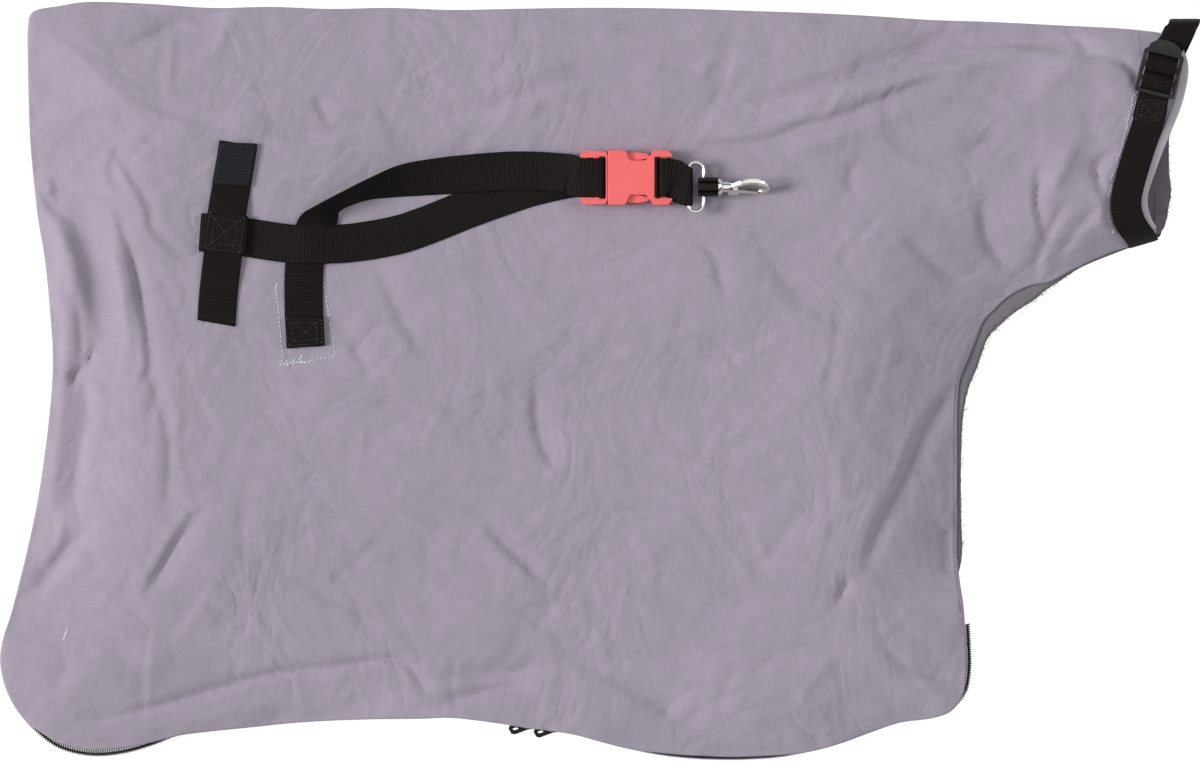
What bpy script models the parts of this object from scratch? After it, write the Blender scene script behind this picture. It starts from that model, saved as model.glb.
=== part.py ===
"""Leaf collection bag of a garden blower, lying flat with its front up.

Metres, +Z up. +X runs from the closed end to the neck, +Y to the bag's top seam.
The origin is on the flat underside of the back panel. Places on the cloth are given as
points of the reference picture, 1200 wide, and turned into metres by PIXEL.
"""
import math

import bpy
import bmesh
from mathutils import Matrix, Vector
from mathutils.bvhtree import BVHTree
from mathutils.geometry import delaunay_2d_cdt

MM = 0.001
UP = Vector((0, 0, 1))

# Cloth
BAG_LENGTH = 780 * MM
PICTURE_WIDTH = 1200
PICTURE_CENTRE = (600, 382)
PIXEL = BAG_LENGTH / PICTURE_WIDTH
CLOTH = 0.9 * MM
LOFT = 24 * MM
SEAM_RIM = 2.1 * MM
SEAM_ROLL = 14 * MM
ZIP_ROLL = 40 * MM
GAP = 0.3 * MM
OUTLINE_STEP = 15 * MM
BACK_SEAM_INSET = 0.6 * MM
BACK_ZIP_INSET = 2.6 * MM
FOLD_FADE = 12 * MM
FLAT_NEAR = 22 * MM
FLAT_FAR = 48 * MM

# Webbing
BAND_WIDTH = 25 * MM
BAND = 1.3 * MM
NECK_WIDTH = 20 * MM
NECK_BAND = 1.2 * MM
NECK_LIFT = 1.8 * MM
HEM_CLEAR = 1.5 * MM
PATCH_SIZE = 27 * MM
PATCH_THICK = 0.8 * MM

# Zip
TAPE = 0.6 * MM
CHAIN_WIDTH = 6.0 * MM
CHAIN_THICK = 2.4 * MM
CHAIN_SLOT = 1.2 * MM
ZIP_TILT = math.radians(35)
ZIP_HEIGHT = 7.5 * MM
SLIDER_LENGTH = 11 * MM
SLIDER_WIDTH = 8 * MM
SLIDER_PLATE = 1.2 * MM
PULL_LENGTH = 11 * MM
PULL_WIDTH = 6.6 * MM
PULL_THICK = 1.2 * MM
PULL_SKEW = math.radians(32)
PLATE_LOW = CHAIN_THICK / 2 + GAP
LUG_HIGH = 3.6 * MM
LUG_LONG = 5.0 * MM
LUG_WIDE = 1.4 * MM
CROSSBAR = 0.5 * MM

# Side release buckle
BUCKLE_PLACE = (628, 178.5)
BUCKLE_HALF_WIDTH = 17.8 * MM
BUCKLE_THICK = 10.5 * MM
BUCKLE_MOUTH = -13 * MM
BUCKLE_END = 28.5 * MM
BUCKLE_LIFT = 0.8 * MM
FRAME_END = -31.2 * MM
BAR_END = -19 * MM
BAR_THICK = 2.4 * MM
BAR_HEIGHT = BUCKLE_THICK / 2 + 0.4 * MM
FRAME_HALF = 17.2 * MM
FRAME_SIDE = 4.0 * MM
FRAME_SLOT = 4.6 * MM
FRAME_THICK = 6.4 * MM
PRONG_REACH = 13.5 * MM
PRONG_THICK = 4.6 * MM
CAVITY_HALF = 16.6 * MM
CAVITY_THICK = 5.4 * MM
WINDOW_LEFT = -3.5 * MM
WINDOW_RIGHT = 16.5 * MM
WINDOW_DEEP = 11.2 * MM
SLOT_LEFT = 17.2 * MM
SLOT_RIGHT = 21.2 * MM
END_BAR = 4.0 * MM
BAR_HALF_THICK = 2.2 * MM

# Wire ring, swivel sleeve and snap hook, from the buckle's middle
RING_BAR_X = 39.2 * MM
HOOK_DROP = -6.0 * MM
RING_HEIGHT = 7.8 * MM
WIRE = 1.1 * MM
RING_HALF = 16.2 * MM
SLEEVE_RADIUS = 6.3 * MM
SLEEVE_LENGTH = 16 * MM
STEM = 2.0 * MM
HOOK_LENGTH = 31 * MM
HOOK_ROD = 1.9 * MM
HOOK_HALF = 6.2 * MM
HOOK_ROLL = math.radians(60)
PIN_X = 9.75 * MM
PIN_IN = 5.0 * MM
SLEEVE_LEFT = -3.6 * MM
CHAMBER = 3.4 * MM
CHAMBER_END = 7.0 * MM
EAR = 2.9 * MM
GATE_PIVOT = (7.0 * MM, -3.6 * MM)
GATE_HALF = 1.5 * MM
RIVET = 0.8 * MM
RUNNING = 0.35 * MM

# Ladder lock of the neck strap
LOCK_WIDTH = 26.5 * MM
LOCK_LENGTH = 29 * MM
LOCK_THICK = 3.0 * MM
LOCK_TAB = 7.5 * MM
LOCK_FOOT = (1151.8, 96)
LOCK_TILT = math.radians(-14)
LOCK_EDGE = 2.5 * MM
LOCK_RIB = 2.4 * MM
BAR_A = 9.2 * MM
BAR_B = 18.6 * MM

# Outline of the front panel, clockwise from the top left: picture x, picture y, and how
# high the cloth's edge stands above the back panel, in millimetres
FRONT_TOP = [
    (33, 12, 2.1), (60, 6, 2.1), (90, 2, 2.1), (150, 4, 2.1), (210, 8, 2.1), (270, 7, 2.1),
    (330, 9, 2.1), (390, 8, 2.1), (450, 10, 2.1), (510, 9, 2.1), (570, 8, 2.1),
    (630, 8, 2.1), (690, 9, 2.1), (750, 11, 2.1), (810, 13, 2.1), (870, 16, 2.1),
    (930, 20, 2.1), (990, 22, 2.1), (1050, 25, 2.1), (1110, 28, 2.1), (1145, 31, 2.1),
]
FRONT_MOUTH = [
    (1168, 36, 4), (1180, 52, 12), (1184, 72, 19), (1178, 102, 22), (1168, 128, 23),
    (1160, 147, 23), (1151, 171, 22), (1144, 193, 19), (1144, 208, 15), (1150, 224, 9),
    (1157, 236, 4),
]
FRONT_NOTCH = [
    (1140, 246, 2.1), (1110, 254, 2.1), (1080, 266, 2.1), (1052, 281, 2.1),
    (1030, 286, 2.1), (1008, 297, 2.1), (994, 310, 2.1), (983, 322, 2.1),
    (975, 342, 2.1), (966, 364, 2.1), (959, 384, 2.1), (957, 420, 2.1), (957, 470, 2.1),
    (957, 520, 2.1), (957, 555, 2.1),
]
FRONT_ZIP = [
    (960, 585, 9), (963, 606, 13), (967, 645, 13), (967, 672, 13), (963, 696, 13),
    (950, 711, 13), (930, 718, 13), (900, 722, 13), (870, 732, 13), (840, 743, 13),
    (810, 752, 13), (780, 757, 13), (735, 759.5, 13), (690, 758, 13), (660, 755, 13),
    (630, 750, 15.5), (600, 741, 19), (575, 734, 21), (545, 729, 21),
    (515, 725, 21), (480, 720, 21), (450, 717, 21), (420, 718, 19), (360, 719, 14.5),
    (300, 722, 13), (240, 728, 13), (210, 731, 13), (180, 735, 13), (150, 743, 13),
    (130, 748, 13), (108, 750.5, 13), (85, 750, 13), (60, 743, 13), (35, 728, 13),
    (18, 710, 13), (6, 686, 13), (1, 660, 13),
]
FRONT_LEFT = [
    (4, 638, 12), (12, 612, 7), (25, 560, 2.1), (36, 510, 2.1), (44, 460, 2.1),
    (50, 410, 2.1), (53, 360, 2.1), (50, 310, 2.1), (45, 260, 2.1), (37, 210, 2.1),
    (31, 150, 2.1), (29, 110, 2.1), (28, 60, 2.1), (28, 30, 2.1),
]
BACK_MOUTH = [
    (1165, 38), (1175, 60), (1175, 90), (1172, 112), (1169, 132), (1169, 170),
    (1171, 190), (1168, 210), (1164, 232), (1153, 243), (1138, 248), (1110, 256),
    (1080, 268), (1057, 283), (1046, 290), (1034, 300), (1014, 313), (1000, 325),
    (989, 336), (983, 350), (977, 368), (968, 390), (963, 418), (961, 460), (961, 510),
    (962, 555),
]

# Folds of the front panel: picture points, height in mm (minus is a valley), width in mm
FOLDS = [
    ([(800, 94), (860, 79), (930, 64), (1009, 47), (1050, 50), (1085, 57)], 5, 9),
    ([(820, 66), (900, 44), (990, 30), (1060, 34), (1100, 42)], -5, 9),
    ([(660, 148), (735, 146), (800, 130), (876, 102), (945, 74)], -3.5, 9),
    ([(451, 115), (520, 100), (600, 76), (693, 66)], -3, 9),
    ([(153, 107), (230, 126), (319, 136), (357, 126)], -3, 8),
    ([(130, 46), (166, 31), (222, 14)], -4, 8),
    ([(102, 122), (138, 191), (160, 235)], -4, 8),
    ([(44, 194), (61, 215), (70, 250), (76, 310), (82, 361), (75, 392)], -10, 10),
    ([(84, 400), (72, 446), (76, 497)], -6, 9),
    ([(96, 290), (100, 340), (104, 390)], 5, 10),
    ([(119, 207), (129, 256), (143, 318), (148, 364), (140, 392)], -7, 9),
    ([(84, 535), (62, 560), (38, 588)], -8, 13),
    ([(196, 515), (170, 553), (150, 590)], -4, 9),
    ([(70, 660), (120, 672), (175, 662)], 5, 22),
    ([(87, 721), (179, 701), (281, 673), (400, 661)], -5, 10),
    ([(438, 700), (489, 684), (553, 669)], -4, 9),
    ([(535, 395), (541, 440), (553, 470)], -2.5, 8),
    ([(489, 530), (512, 552), (543, 581)], -3, 8),
    ([(945, 395), (925, 426), (900, 480), (875, 530), (862, 562)], -5, 9),
    ([(700, 700), (760, 715), (840, 700)], 4, 25),
    ([(1037, 179), (1035, 204), (1042, 232)], -4, 7),
    ([(1085, 222), (1060, 240), (1038, 262)], -5, 8),
    ([(1111, 153), (1094, 170), (1100, 196)], -3, 7),
    ([(963, 153), (999, 138)], -3, 12),
]

# Routes on the cloth, in picture points
HANG_BAND = [
    (239.5, 144), (235, 172), (232, 191), (228.5, 212), (224, 255), (220, 290), (217.5, 323.5),
]
STRAP_START = (248, 236)
STRAP_FOLD = (204.5, 233)
LOWER_STRAND = [
    (258, 239.5), (285, 243.5), (305, 245), (325, 245), (350, 243.5), (375, 240),
    (400, 235), (432, 224), (464, 211), (500, 198), (530, 188), (555, 182),
]
UPPER_STRAND = [
    (570, 174.5), (543, 172), (512, 171.5), (480, 173.5), (450, 176), (425, 178.5),
    (400, 182), (375, 188.5), (355, 196), (340, 203.5),
]
TAIL_DIVE = [(330, 210.5), (322, 219), (315.5, 230), (310, 245)]
TAIL = [(306, 262), (304.5, 285), (305, 315), (306.5, 345)]
TAIL_HEM = (305.2, 317)
PATCH = [(277, 281), (327, 278), (337, 356), (282, 360)]
NECK_RUN = [
    (1149.5, 112), (1145, 127), (1138.5, 147), (1132, 168), (1126.5, 189), (1124.5, 206),
    (1127.5, 222), (1133, 233),
]
NECK_WRAP = [(1140, 243.5), (1143.2, 249.6), (1144, 251.5), (1143.2, 249.6)]
NECK_BACK = [
    (1146, 238), (1149, 215), (1149, 180), (1150, 140), (1156, 100), (1166, 62), (1177, 36),
]
NECK_TOP = [(1183, 24.5), (1184, 21), (1184, 20.5), (1182.5, 24), (1179, 31)]
ZIP_LINE = [
    (964.5, 618), (966, 645), (966.5, 668), (962.5, 690),
    (950, 704), (928, 711), (900, 715), (870, 725.5), (840, 737), (810, 746.5),
    (780, 752.5), (735, 755.2), (690, 753.8), (660, 750.5), (630, 744), (602, 733.5),
    (578, 727.9), (425, 708.8), (360, 709), (300, 713), (240, 719), (210, 723.5),
    (180, 730), (150, 741.5), (120, 749.5), (90, 751.3), (60, 743.5), (36, 725),
    (20, 705), (11, 684), (8, 658),
]
ZIP_STRAIGHT = (16, 17)
SLIDERS = {"left": (526, 721.4), "right": (551, 724.5)}

COLOURS = {
    "grey_cotton": ((0.36, 0.32, 0.37), 0.95, 0.0),
    "black_webbing": ((0.014, 0.012, 0.012), 0.8, 0.0),
    "black_tape": ((0.012, 0.013, 0.017), 0.85, 0.0),
    "black_plastic": ((0.03, 0.03, 0.03), 0.45, 0.0),
    "red_plastic": ((0.80, 0.08, 0.08), 0.35, 0.0),
    "nickel": ((0.75, 0.73, 0.70), 0.18, 1.0),
    "dark_metal": ((0.03, 0.03, 0.03), 0.3, 0.8),
}


def clear_scene():
    for old in list(bpy.data.objects):
        bpy.data.objects.remove(old, do_unlink=True)


def new_collection(name):
    group = bpy.data.collections.new(name)
    bpy.context.scene.collection.children.link(group)
    return group


def make_material(name):
    colour, roughness, metallic = COLOURS[name]
    material = bpy.data.materials.new(name)
    material.use_nodes = True
    shader = material.node_tree.nodes["Principled BSDF"]
    shader.inputs["Base Color"].default_value = (*colour, 1)
    shader.inputs["Roughness"].default_value = roughness
    shader.inputs["Metallic"].default_value = metallic
    return material


clear_scene()
BAG = new_collection("leaf_collection_bag")
CUTTERS = new_collection("cutters")
MATERIALS = {name: make_material(name) for name in COLOURS}


def place(px, py):
    """A picture point in metres on the ground plane."""
    return Vector(((px - PICTURE_CENTRE[0]) * PIXEL, (PICTURE_CENTRE[1] - py) * PIXEL))


def add_object(name, mesh, material, group=None):
    thing = bpy.data.objects.new(name, mesh)
    (group or BAG).objects.link(thing)
    if material:
        mesh.materials.clear()
        mesh.materials.append(MATERIALS[material])
    return thing


def mesh_from(bm, name):
    bmesh.ops.recalc_face_normals(bm, faces=bm.faces)
    mesh = bpy.data.meshes.new(name)
    bm.to_mesh(mesh)
    bm.free()
    return mesh


def smooth(thing, angle=35):
    thing.data.shade_smooth()
    thing.data.set_sharp_from_angle(angle=math.radians(angle))


def curve_piece(a, b, c, d, parts):
    """Points from b towards c on a smooth curve, c itself left out."""
    found = []
    for i in range(parts):
        t = i / parts
        found.append(
            0.5 * ((2 * b) + (c - a) * t + (2 * a - 5 * b + 4 * c - d) * t * t
                   + (3 * b - a - 3 * c + d) * t ** 3)
        )
    return found


def spline(points, step):
    """Points read every step along a smooth curve through the given ones."""
    ends = [2 * points[0] - points[1]] + list(points) + [2 * points[-1] - points[-2]]
    found = []
    for a, b, c, d in zip(ends, ends[1:], ends[2:], ends[3:]):
        found += curve_piece(a, b, c, d, max(1, round((c - b).length / step)))
    return found + [points[-1]]


def closed_spline(points, step):
    """The same curve through a ring of points, evenly read as seen from above."""
    found = []
    for i, b in enumerate(points):
        c, d = points[(i + 1) % len(points)], points[(i + 2) % len(points)]
        parts = max(1, round((c - b).to_2d().length / step))
        found += curve_piece(points[i - 1], b, c, d, parts)
    return found


def nearest(point, line, closed=False):
    """Distance from a point to a line of points, and where on it, as an index."""
    best = (1e9, 0.0)
    count = len(line) if closed else len(line) - 1
    for i in range(count):
        a, b = line[i].to_2d(), line[(i + 1) % len(line)].to_2d()
        run = b - a
        t = max(0.0, min(1.0, (point - a).dot(run) / max(run.length_squared, 1e-12)))
        gap = (point - a - run * t).length
        if gap < best[0]:
            best = (gap, i + t)
    return best


def step_up(value, low, high):
    t = max(0.0, min(1.0, (value - low) / (high - low)))
    return t * t * (3 - 2 * t)


# Front panel: one sheet of cotton, higher in the middle than at its seams
FRONT_POINTS = FRONT_TOP + FRONT_MOUTH + FRONT_NOTCH + FRONT_ZIP + FRONT_LEFT
FRONT_EDGE = closed_spline(
    [place(x, y).to_3d() + Vector((0, 0, z * MM)) for x, y, z in FRONT_POINTS], OUTLINE_STEP
)
FOLD_LINES = [([place(*p) for p in line], h * MM, w * MM) for line, h, w in FOLDS]
FLAT_LINES = [
    [place(*p) for p in line]
    for line in (
        HANG_BAND,
        [STRAP_FOLD] + LOWER_STRAND + [BUCKLE_PLACE, (700, 188), (765, 188)],
        UPPER_STRAND + TAIL_DIVE + TAIL,
    )
]
NECK_START = place(1085, 0).x
NECK_FULL = place(1112, 0).x


def back_lift(point):
    """How far the back panel is lifted, by the strap that runs under the neck."""
    return NECK_LIFT * step_up(point.x, NECK_START, NECK_FULL)


def cloth_height(point):
    """Height of the front panel's outer face over a point."""
    gap, where = nearest(point, FRONT_EDGE, closed=True)
    i, t = int(where), where - int(where)
    rim = FRONT_EDGE[i].z * (1 - t) + FRONT_EDGE[(i + 1) % len(FRONT_EDGE)].z * t
    roll = SEAM_ROLL + (ZIP_ROLL - SEAM_ROLL) * step_up(rim, SEAM_RIM, 13 * MM)
    round_over = math.sin(math.pi / 2 * min(gap / roll, 1))
    still = min(step_up(nearest(point, line)[0], FLAT_NEAR, FLAT_FAR) for line in FLAT_LINES)
    folds = 0.0
    for line, height, width in FOLD_LINES:
        distance = nearest(point, line)[0]
        if distance < 3 * width:
            folds += height * math.exp(-((distance / width) ** 2))
    folds *= min(gap / FOLD_FADE, 1) * still
    return back_lift(point) + rim + (LOFT - rim) * round_over + folds


def inset_points(ring, distance):
    """The ring moved inwards; the outline runs clockwise, so inwards is to its right."""
    moved = []
    for i, point in enumerate(ring):
        along = (ring[(i + 1) % len(ring)] - ring[i - 1]).to_2d().normalized()
        moved.append(point.to_2d() + Vector((along.y, -along.x)) * distance)
    return moved


def sheet_mesh(name, edge, inner, height):
    """A sheet of triangles inside an edge, through the inner points, at a given height."""
    flat = [p.to_2d() for p in edge] + inner
    count = len(edge)
    edges = [(i, (i + 1) % count) for i in range(count)]
    verts, _, faces, *_ = delaunay_2d_cdt(flat, edges, [], 1, 1e-5)
    bm = bmesh.new()
    made = [bm.verts.new((v.x, v.y, height(v))) for v in verts]
    for face in faces:
        bm.faces.new([made[i] for i in face])
    for face in bm.faces:
        face.normal_update()
        if face.normal.z < 0:
            face.normal_flip()
    mesh = bpy.data.meshes.new(name)
    bm.to_mesh(mesh)
    bm.free()
    return mesh


def add_wall(thing, thickness, offset=-1):
    wall = thing.modifiers.new("wall", "SOLIDIFY")
    wall.thickness = thickness
    wall.offset = offset
    return wall


def inner_points(edge, rings, spacing, lines, spread):
    """Rings just inside the edge, points along the lines and beside them, then a grid."""
    kept = []

    def keep(points, clearance, margin):
        for p in points:
            if inside(p, edge) and nearest(p, edge, closed=True)[0] > margin:
                if all((p - q).length > clearance for q in kept):
                    kept.append(p)

    for distance, every in rings:
        keep(inset_points(edge, distance)[::every], distance * 0.7, distance * 0.8)
    margin = rings[-1][0] + 6 * MM
    for line, _, width in lines:
        path = spline([p.to_3d() for p in line], 18 * MM)
        keep([p.to_2d() for p in path], 8 * MM, margin)
        for side in (-1, 1):
            beside = []
            for a, b in zip(path, path[1:]):
                along = (b - a).to_2d().normalized()
                aside = Vector((-along.y, along.x)) * side * width * spread
                beside.append(((a + b) / 2).to_2d() + aside)
            keep(beside, 9 * MM, margin)
    rows = int(0.5 / spacing) + 2
    grid = []
    for j in range(-rows, rows):
        for i in range(-rows, rows):
            grid.append(Vector(((i + (j % 2) / 2) * spacing, j * spacing * math.sqrt(3) / 2)))
    keep(grid, spacing * 0.62, margin)
    return kept


def inside(point, ring):
    hit = False
    for i, b in enumerate(ring):
        a = ring[i - 1]
        if (a.y > point.y) != (b.y > point.y):
            if point.x < (b.x - a.x) * (point.y - a.y) / (b.y - a.y) + a.x:
                hit = not hit
    return hit


FRONT_INNER = inner_points(FRONT_EDGE, [(5 * MM, 1), (14 * MM, 2)], 29 * MM, FOLD_LINES, 1.3)
front_panel = add_object(
    "front_panel",
    sheet_mesh("front_panel", FRONT_EDGE, FRONT_INNER, cloth_height),
    "grey_cotton",
)
FRONT_SKIN = BVHTree.FromPolygons(
    [v.co for v in front_panel.data.vertices],
    [tuple(face.vertices) for face in front_panel.data.polygons],
)
add_wall(front_panel, CLOTH)
smooth(front_panel, 80)


def skin_height(point):
    """Height of the front panel as it is made, in flat triangles, over a point."""
    hit = FRONT_SKIN.ray_cast(Vector((point.x, point.y, 1)), Vector((0, 0, -1)))[0]
    return hit.z if hit else cloth_height(point)


# Back panel: the lower sheet, flat on the ground, longer than the front at the mouth
def back_edge():
    front = [place(x, y).to_3d() for x, y, _ in FRONT_POINTS]
    seam = inset_points(front, BACK_SEAM_INSET)
    tucked = inset_points(front, BACK_ZIP_INSET)
    points = []
    for i, (_, _, rim) in enumerate(FRONT_POINTS):
        points.append(tucked[i] if rim > 3 else seam[i])
    first = len(FRONT_TOP)
    last = first + len(FRONT_MOUTH) + len(FRONT_NOTCH)
    points[first:last] = [place(*p) for p in BACK_MOUTH]
    return closed_spline([p.to_3d() for p in points], OUTLINE_STEP)


BACK_EDGE = back_edge()
NECK_COLUMNS = [
    place(x, y) for x in (1084, 1092, 1100, 1108, 1116) for y in range(60, 250, 38)
]
BACK_INNER = inner_points(BACK_EDGE, [(12 * MM, 3)], 90 * MM, [], 1)
BACK_INNER += [p for p in NECK_COLUMNS if all((p - q).length > 4 * MM for q in BACK_INNER)]
back_panel = add_object(
    "back_panel",
    sheet_mesh("back_panel", BACK_EDGE, BACK_INNER, back_lift),
    "grey_cotton",
)
add_wall(back_panel, CLOTH, offset=1)


# Webbing: a flat woven band, made section by section along its route
def band(name, stations, width, thick, material):
    """Each station is a centre, the direction across the band, and the way its face looks."""
    bm = bmesh.new()
    rings = []
    for centre, across, up in stations:
        a, u = across.normalized() * width / 2, up.normalized() * thick / 2
        rings.append([bm.verts.new(centre + v) for v in (a + u, -a + u, -a - u, a - u)])
    for one, two in zip(rings, rings[1:]):
        for i in range(4):
            j = (i + 1) % 4
            bm.faces.new((one[i], one[j], two[j], two[i]))
    bm.faces.new(rings[0])
    bm.faces.new(list(reversed(rings[-1])))
    return add_object(name, mesh_from(bm, name), material)


def route(centres, tilts=None):
    """Stations along centres: flat where the tilt is 0, standing on edge where it is 90."""
    stations = []
    for i, centre in enumerate(centres):
        along = (centres[min(i + 1, len(centres) - 1)] - centres[max(i - 1, 0)]).normalized()
        level = Vector((0, 0, 1)).cross(along).normalized()
        tilt = math.radians(tilts[i]) if tilts else 0.0
        across = Matrix.Rotation(tilt, 3, along) @ level
        stations.append((centre, across, along.cross(across)))
    return stations


def on_cloth(points, lifts):
    return [
        Vector((p.x, p.y, LOFT + lift)) for p, lift in zip((place(*q) for q in points), lifts)
    ]


LAYER = BAND + GAP
FIRST = GAP + BAND / 2
SECOND = FIRST + LAYER
THIRD = SECOND + LAYER

hang_lifts = [FIRST, FIRST, FIRST, SECOND, SECOND, FIRST, FIRST]
band(
    "hanging_band",
    route(spline(on_cloth(HANG_BAND, hang_lifts), 9 * MM)),
    BAND_WIDTH, BAND, "black_webbing",
)

patch_lift = FIRST + BAND / 2 + 2 * GAP + PATCH_THICK / 2
patch_line = [place(*HANG_BAND[0]), place(*HANG_BAND[1])]
patch_way = (patch_line[1] - patch_line[0]).normalized().to_3d()
patch_start = patch_line[0].to_3d() - patch_way * 0.5 * MM
band(
    "band_end_patch",
    route([patch_start + patch_way * t + UP * (LOFT + patch_lift) for t in (0, PATCH_SIZE)]),
    BAND_WIDTH - 0.4 * MM, PATCH_THICK, "black_tape",
)


def shoulder_stations():
    """Folded round the hanging band, out to the buckle's bars and back to the loose tail."""
    start, fold = place(*STRAP_START).to_3d(), place(*STRAP_FOLD).to_3d()
    back = (fold - start).normalized()
    across = Vector((0, 0, 1)).cross(back)
    turn = LAYER
    stations = []

    def put(ground, lift, tilt_up):
        stations.append((Vector((ground.x, ground.y, LOFT + lift)), across, tilt_up))

    up = Vector((0, 0, 1))
    put(start, THIRD, up)
    put(start + back * (fold - start).length * 0.5, THIRD, up)
    for angle in range(0, 181, 30):
        a = math.radians(angle)
        out = back * math.sin(a) * turn
        put(fold + out, SECOND + turn * math.cos(a), up * math.cos(a) + back * math.sin(a))
    put(start + back * (fold - start).length * 0.4, FIRST, -up)
    lifts = [FIRST, SECOND, SECOND + 1.2 * MM, SECOND] + [FIRST + 0.4 * MM] * 3 + [FIRST] * 5
    for centre, flat, face in route(spline(on_cloth(LOWER_STRAND, lifts), 13 * MM)):
        stations.append((centre, -flat, -face))
    bars = place(*BUCKLE_PLACE).to_3d()
    bars.z = LOFT + BUCKLE_LIFT
    end = FRAME_END
    for x, z in (
        (end - 3 * MM, FIRST - BUCKLE_LIFT), (BAR_END + 0.6 * MM, FIRST - BUCKLE_LIFT),
    ):
        stations.append((bars + Vector((x, 0, z)), Vector((0, -1, 0)), Vector((0, 0, -1))))
    middle = BAR_HEIGHT
    reach = BAR_THICK / 2 + GAP + BAND / 2
    low = FIRST - BUCKLE_LIFT
    high = middle + reach
    for angle in range(-60, 90, 30):
        a = math.radians(angle)
        z = (low + high) / 2 + (high - low) / 2 * math.sin(a)
        x = BAR_END + 0.6 * MM + (reach - BAR_THICK / 2 + 0.6 * MM) * math.cos(a)
        stations.append(
            (bars + Vector((x, 0, z)), Vector((0, -1, 0)), Vector((math.cos(a), 0, math.sin(a))))
        )
    for x in (BAR_END, end - 1 * MM):
        stations.append((bars + Vector((x, 0, high)), Vector((0, -1, 0)), Vector((0, 0, 1))))
    lifts = [SECOND + 3.5 * MM, SECOND + 1 * MM, SECOND + 1 * MM] + [SECOND + 2 * MM] * 7
    tilts = [0, 0, 0, 6, 14, 24, 34, 42, 46, 48]
    dive = [SECOND + 2 * MM, FIRST + 1.5 * MM, FIRST, FIRST]
    rest = [FIRST] * 4
    ground = UPPER_STRAND + TAIL_DIVE + TAIL
    leans = tilts + [42, 22, 4, 0] + [0] * 4
    heights = lifts + dive + rest
    centres = []
    for point, lift, lean in zip(ground, heights, leans):
        rise = BAND_WIDTH / 2 * math.sin(math.radians(lean))
        p = place(*point)
        centres.append(Vector((p.x, p.y, LOFT + max(lift, FIRST + rise))))
    fine = spline(centres, 9 * MM)
    fine_leans = []
    for p in fine:
        where = nearest(p.to_2d(), [c.to_2d() for c in centres])[1]
        i = min(int(where), len(leans) - 2)
        fine_leans.append(leans[i] + (leans[i + 1] - leans[i]) * (where - i))
    for centre, flat, face in route(fine, [-lean for lean in fine_leans]):
        stations.append((centre, flat, face))
    tip, hem = place(*TAIL[-1]).to_3d(), place(*TAIL_HEM).to_3d()
    way = (tip - hem).normalized()
    across = Vector((0, 0, 1)).cross(way)
    half = LAYER / 2
    for angle in range(30, 181, 30):
        a = math.radians(angle)
        centre = tip + way * math.sin(a) * half + up * (LOFT + FIRST + half - half * math.cos(a))
        stations.append((centre, across, up * math.cos(a) - way * math.sin(a)))
    stations.append((hem + up * (LOFT + SECOND), across, -up))
    return stations


band("shoulder_strap", shoulder_stations(), BAND_WIDTH, BAND, "black_webbing")


def bevel(thing, width, segments=2, angle=40):
    edge = thing.modifiers.new("edge", "BEVEL")
    edge.width = width
    edge.segments = segments
    edge.limit_method = "ANGLE"
    edge.angle_limit = math.radians(angle)
    edge.use_clamp_overlap = True
    return edge


def plate(name, loops, low, high, material, group=None):
    """A flat outline with holes, extruded from low to high, as a mesh."""
    outline = bpy.data.curves.new(name, "CURVE")
    outline.dimensions = "2D"
    outline.fill_mode = "BOTH"
    outline.extrude = (high - low) / 2
    for loop in loops:
        line = outline.splines.new("POLY")
        line.points.add(len(loop) - 1)
        for point, (x, y) in zip(line.points, loop):
            point.co = (x, y, 0, 1)
        line.use_cyclic_u = True
    holder = bpy.data.objects.new(name + "_outline", outline)
    CUTTERS.objects.link(holder)
    holder.location.z = (low + high) / 2
    bpy.context.view_layer.update()
    seen = holder.evaluated_get(bpy.context.evaluated_depsgraph_get())
    mesh = bpy.data.meshes.new_from_object(seen)
    mesh.transform(holder.matrix_world)
    bpy.data.objects.remove(holder, do_unlink=True)
    bpy.data.curves.remove(outline)
    bm = bmesh.new()
    bm.from_mesh(mesh)
    bmesh.ops.remove_doubles(bm, verts=bm.verts, dist=1e-6)
    bmesh.ops.dissolve_limit(bm, angle_limit=0.01, verts=bm.verts, edges=bm.edges)
    bmesh.ops.recalc_face_normals(bm, faces=bm.faces)
    bm.to_mesh(mesh)
    bm.free()
    mesh.name = name
    return add_object(name, mesh, material, group)


def box(name, low, high, material=None, group=None):
    bm = bmesh.new()
    size = Vector(high) - Vector(low)
    middle = (Vector(high) + Vector(low)) / 2
    bmesh.ops.create_cube(bm, size=1, matrix=Matrix.Translation(middle) @ Matrix.Diagonal((*size, 1)))
    return add_object(name, mesh_from(bm, name), material, group)


def cut(thing, cutter, operation="DIFFERENCE"):
    cutter.hide_render = True
    cutter.display_type = "WIRE"
    for group in list(cutter.users_collection):
        group.objects.unlink(cutter)
    CUTTERS.objects.link(cutter)
    step = thing.modifiers.new(cutter.name, "BOOLEAN")
    step.operation = operation
    step.object = cutter
    step.solver = "EXACT"
    return step


def rounded(low, high, radius, corner=3):
    """A rectangle with round corners, anticlockwise."""
    loop = []
    for cx, cy, start in (
        (high[0] - radius, high[1] - radius, 0), (low[0] + radius, high[1] - radius, 90),
        (low[0] + radius, low[1] + radius, 180), (high[0] - radius, low[1] + radius, 270),
    ):
        for i in range(corner + 1):
            a = math.radians(start + 90 * i / corner)
            loop.append((cx + radius * math.cos(a), cy + radius * math.sin(a)))
    return loop


# Buckle, male half: a frame with one bar for the strap, and three prongs in one moulding
BUCKLE = place(*BUCKLE_PLACE).to_3d() + Vector((0, 0, LOFT + BUCKLE_LIFT))
MIDDLE = BUCKLE_THICK / 2


def at_buckle(thing):
    thing.location = BUCKLE
    return thing


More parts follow.
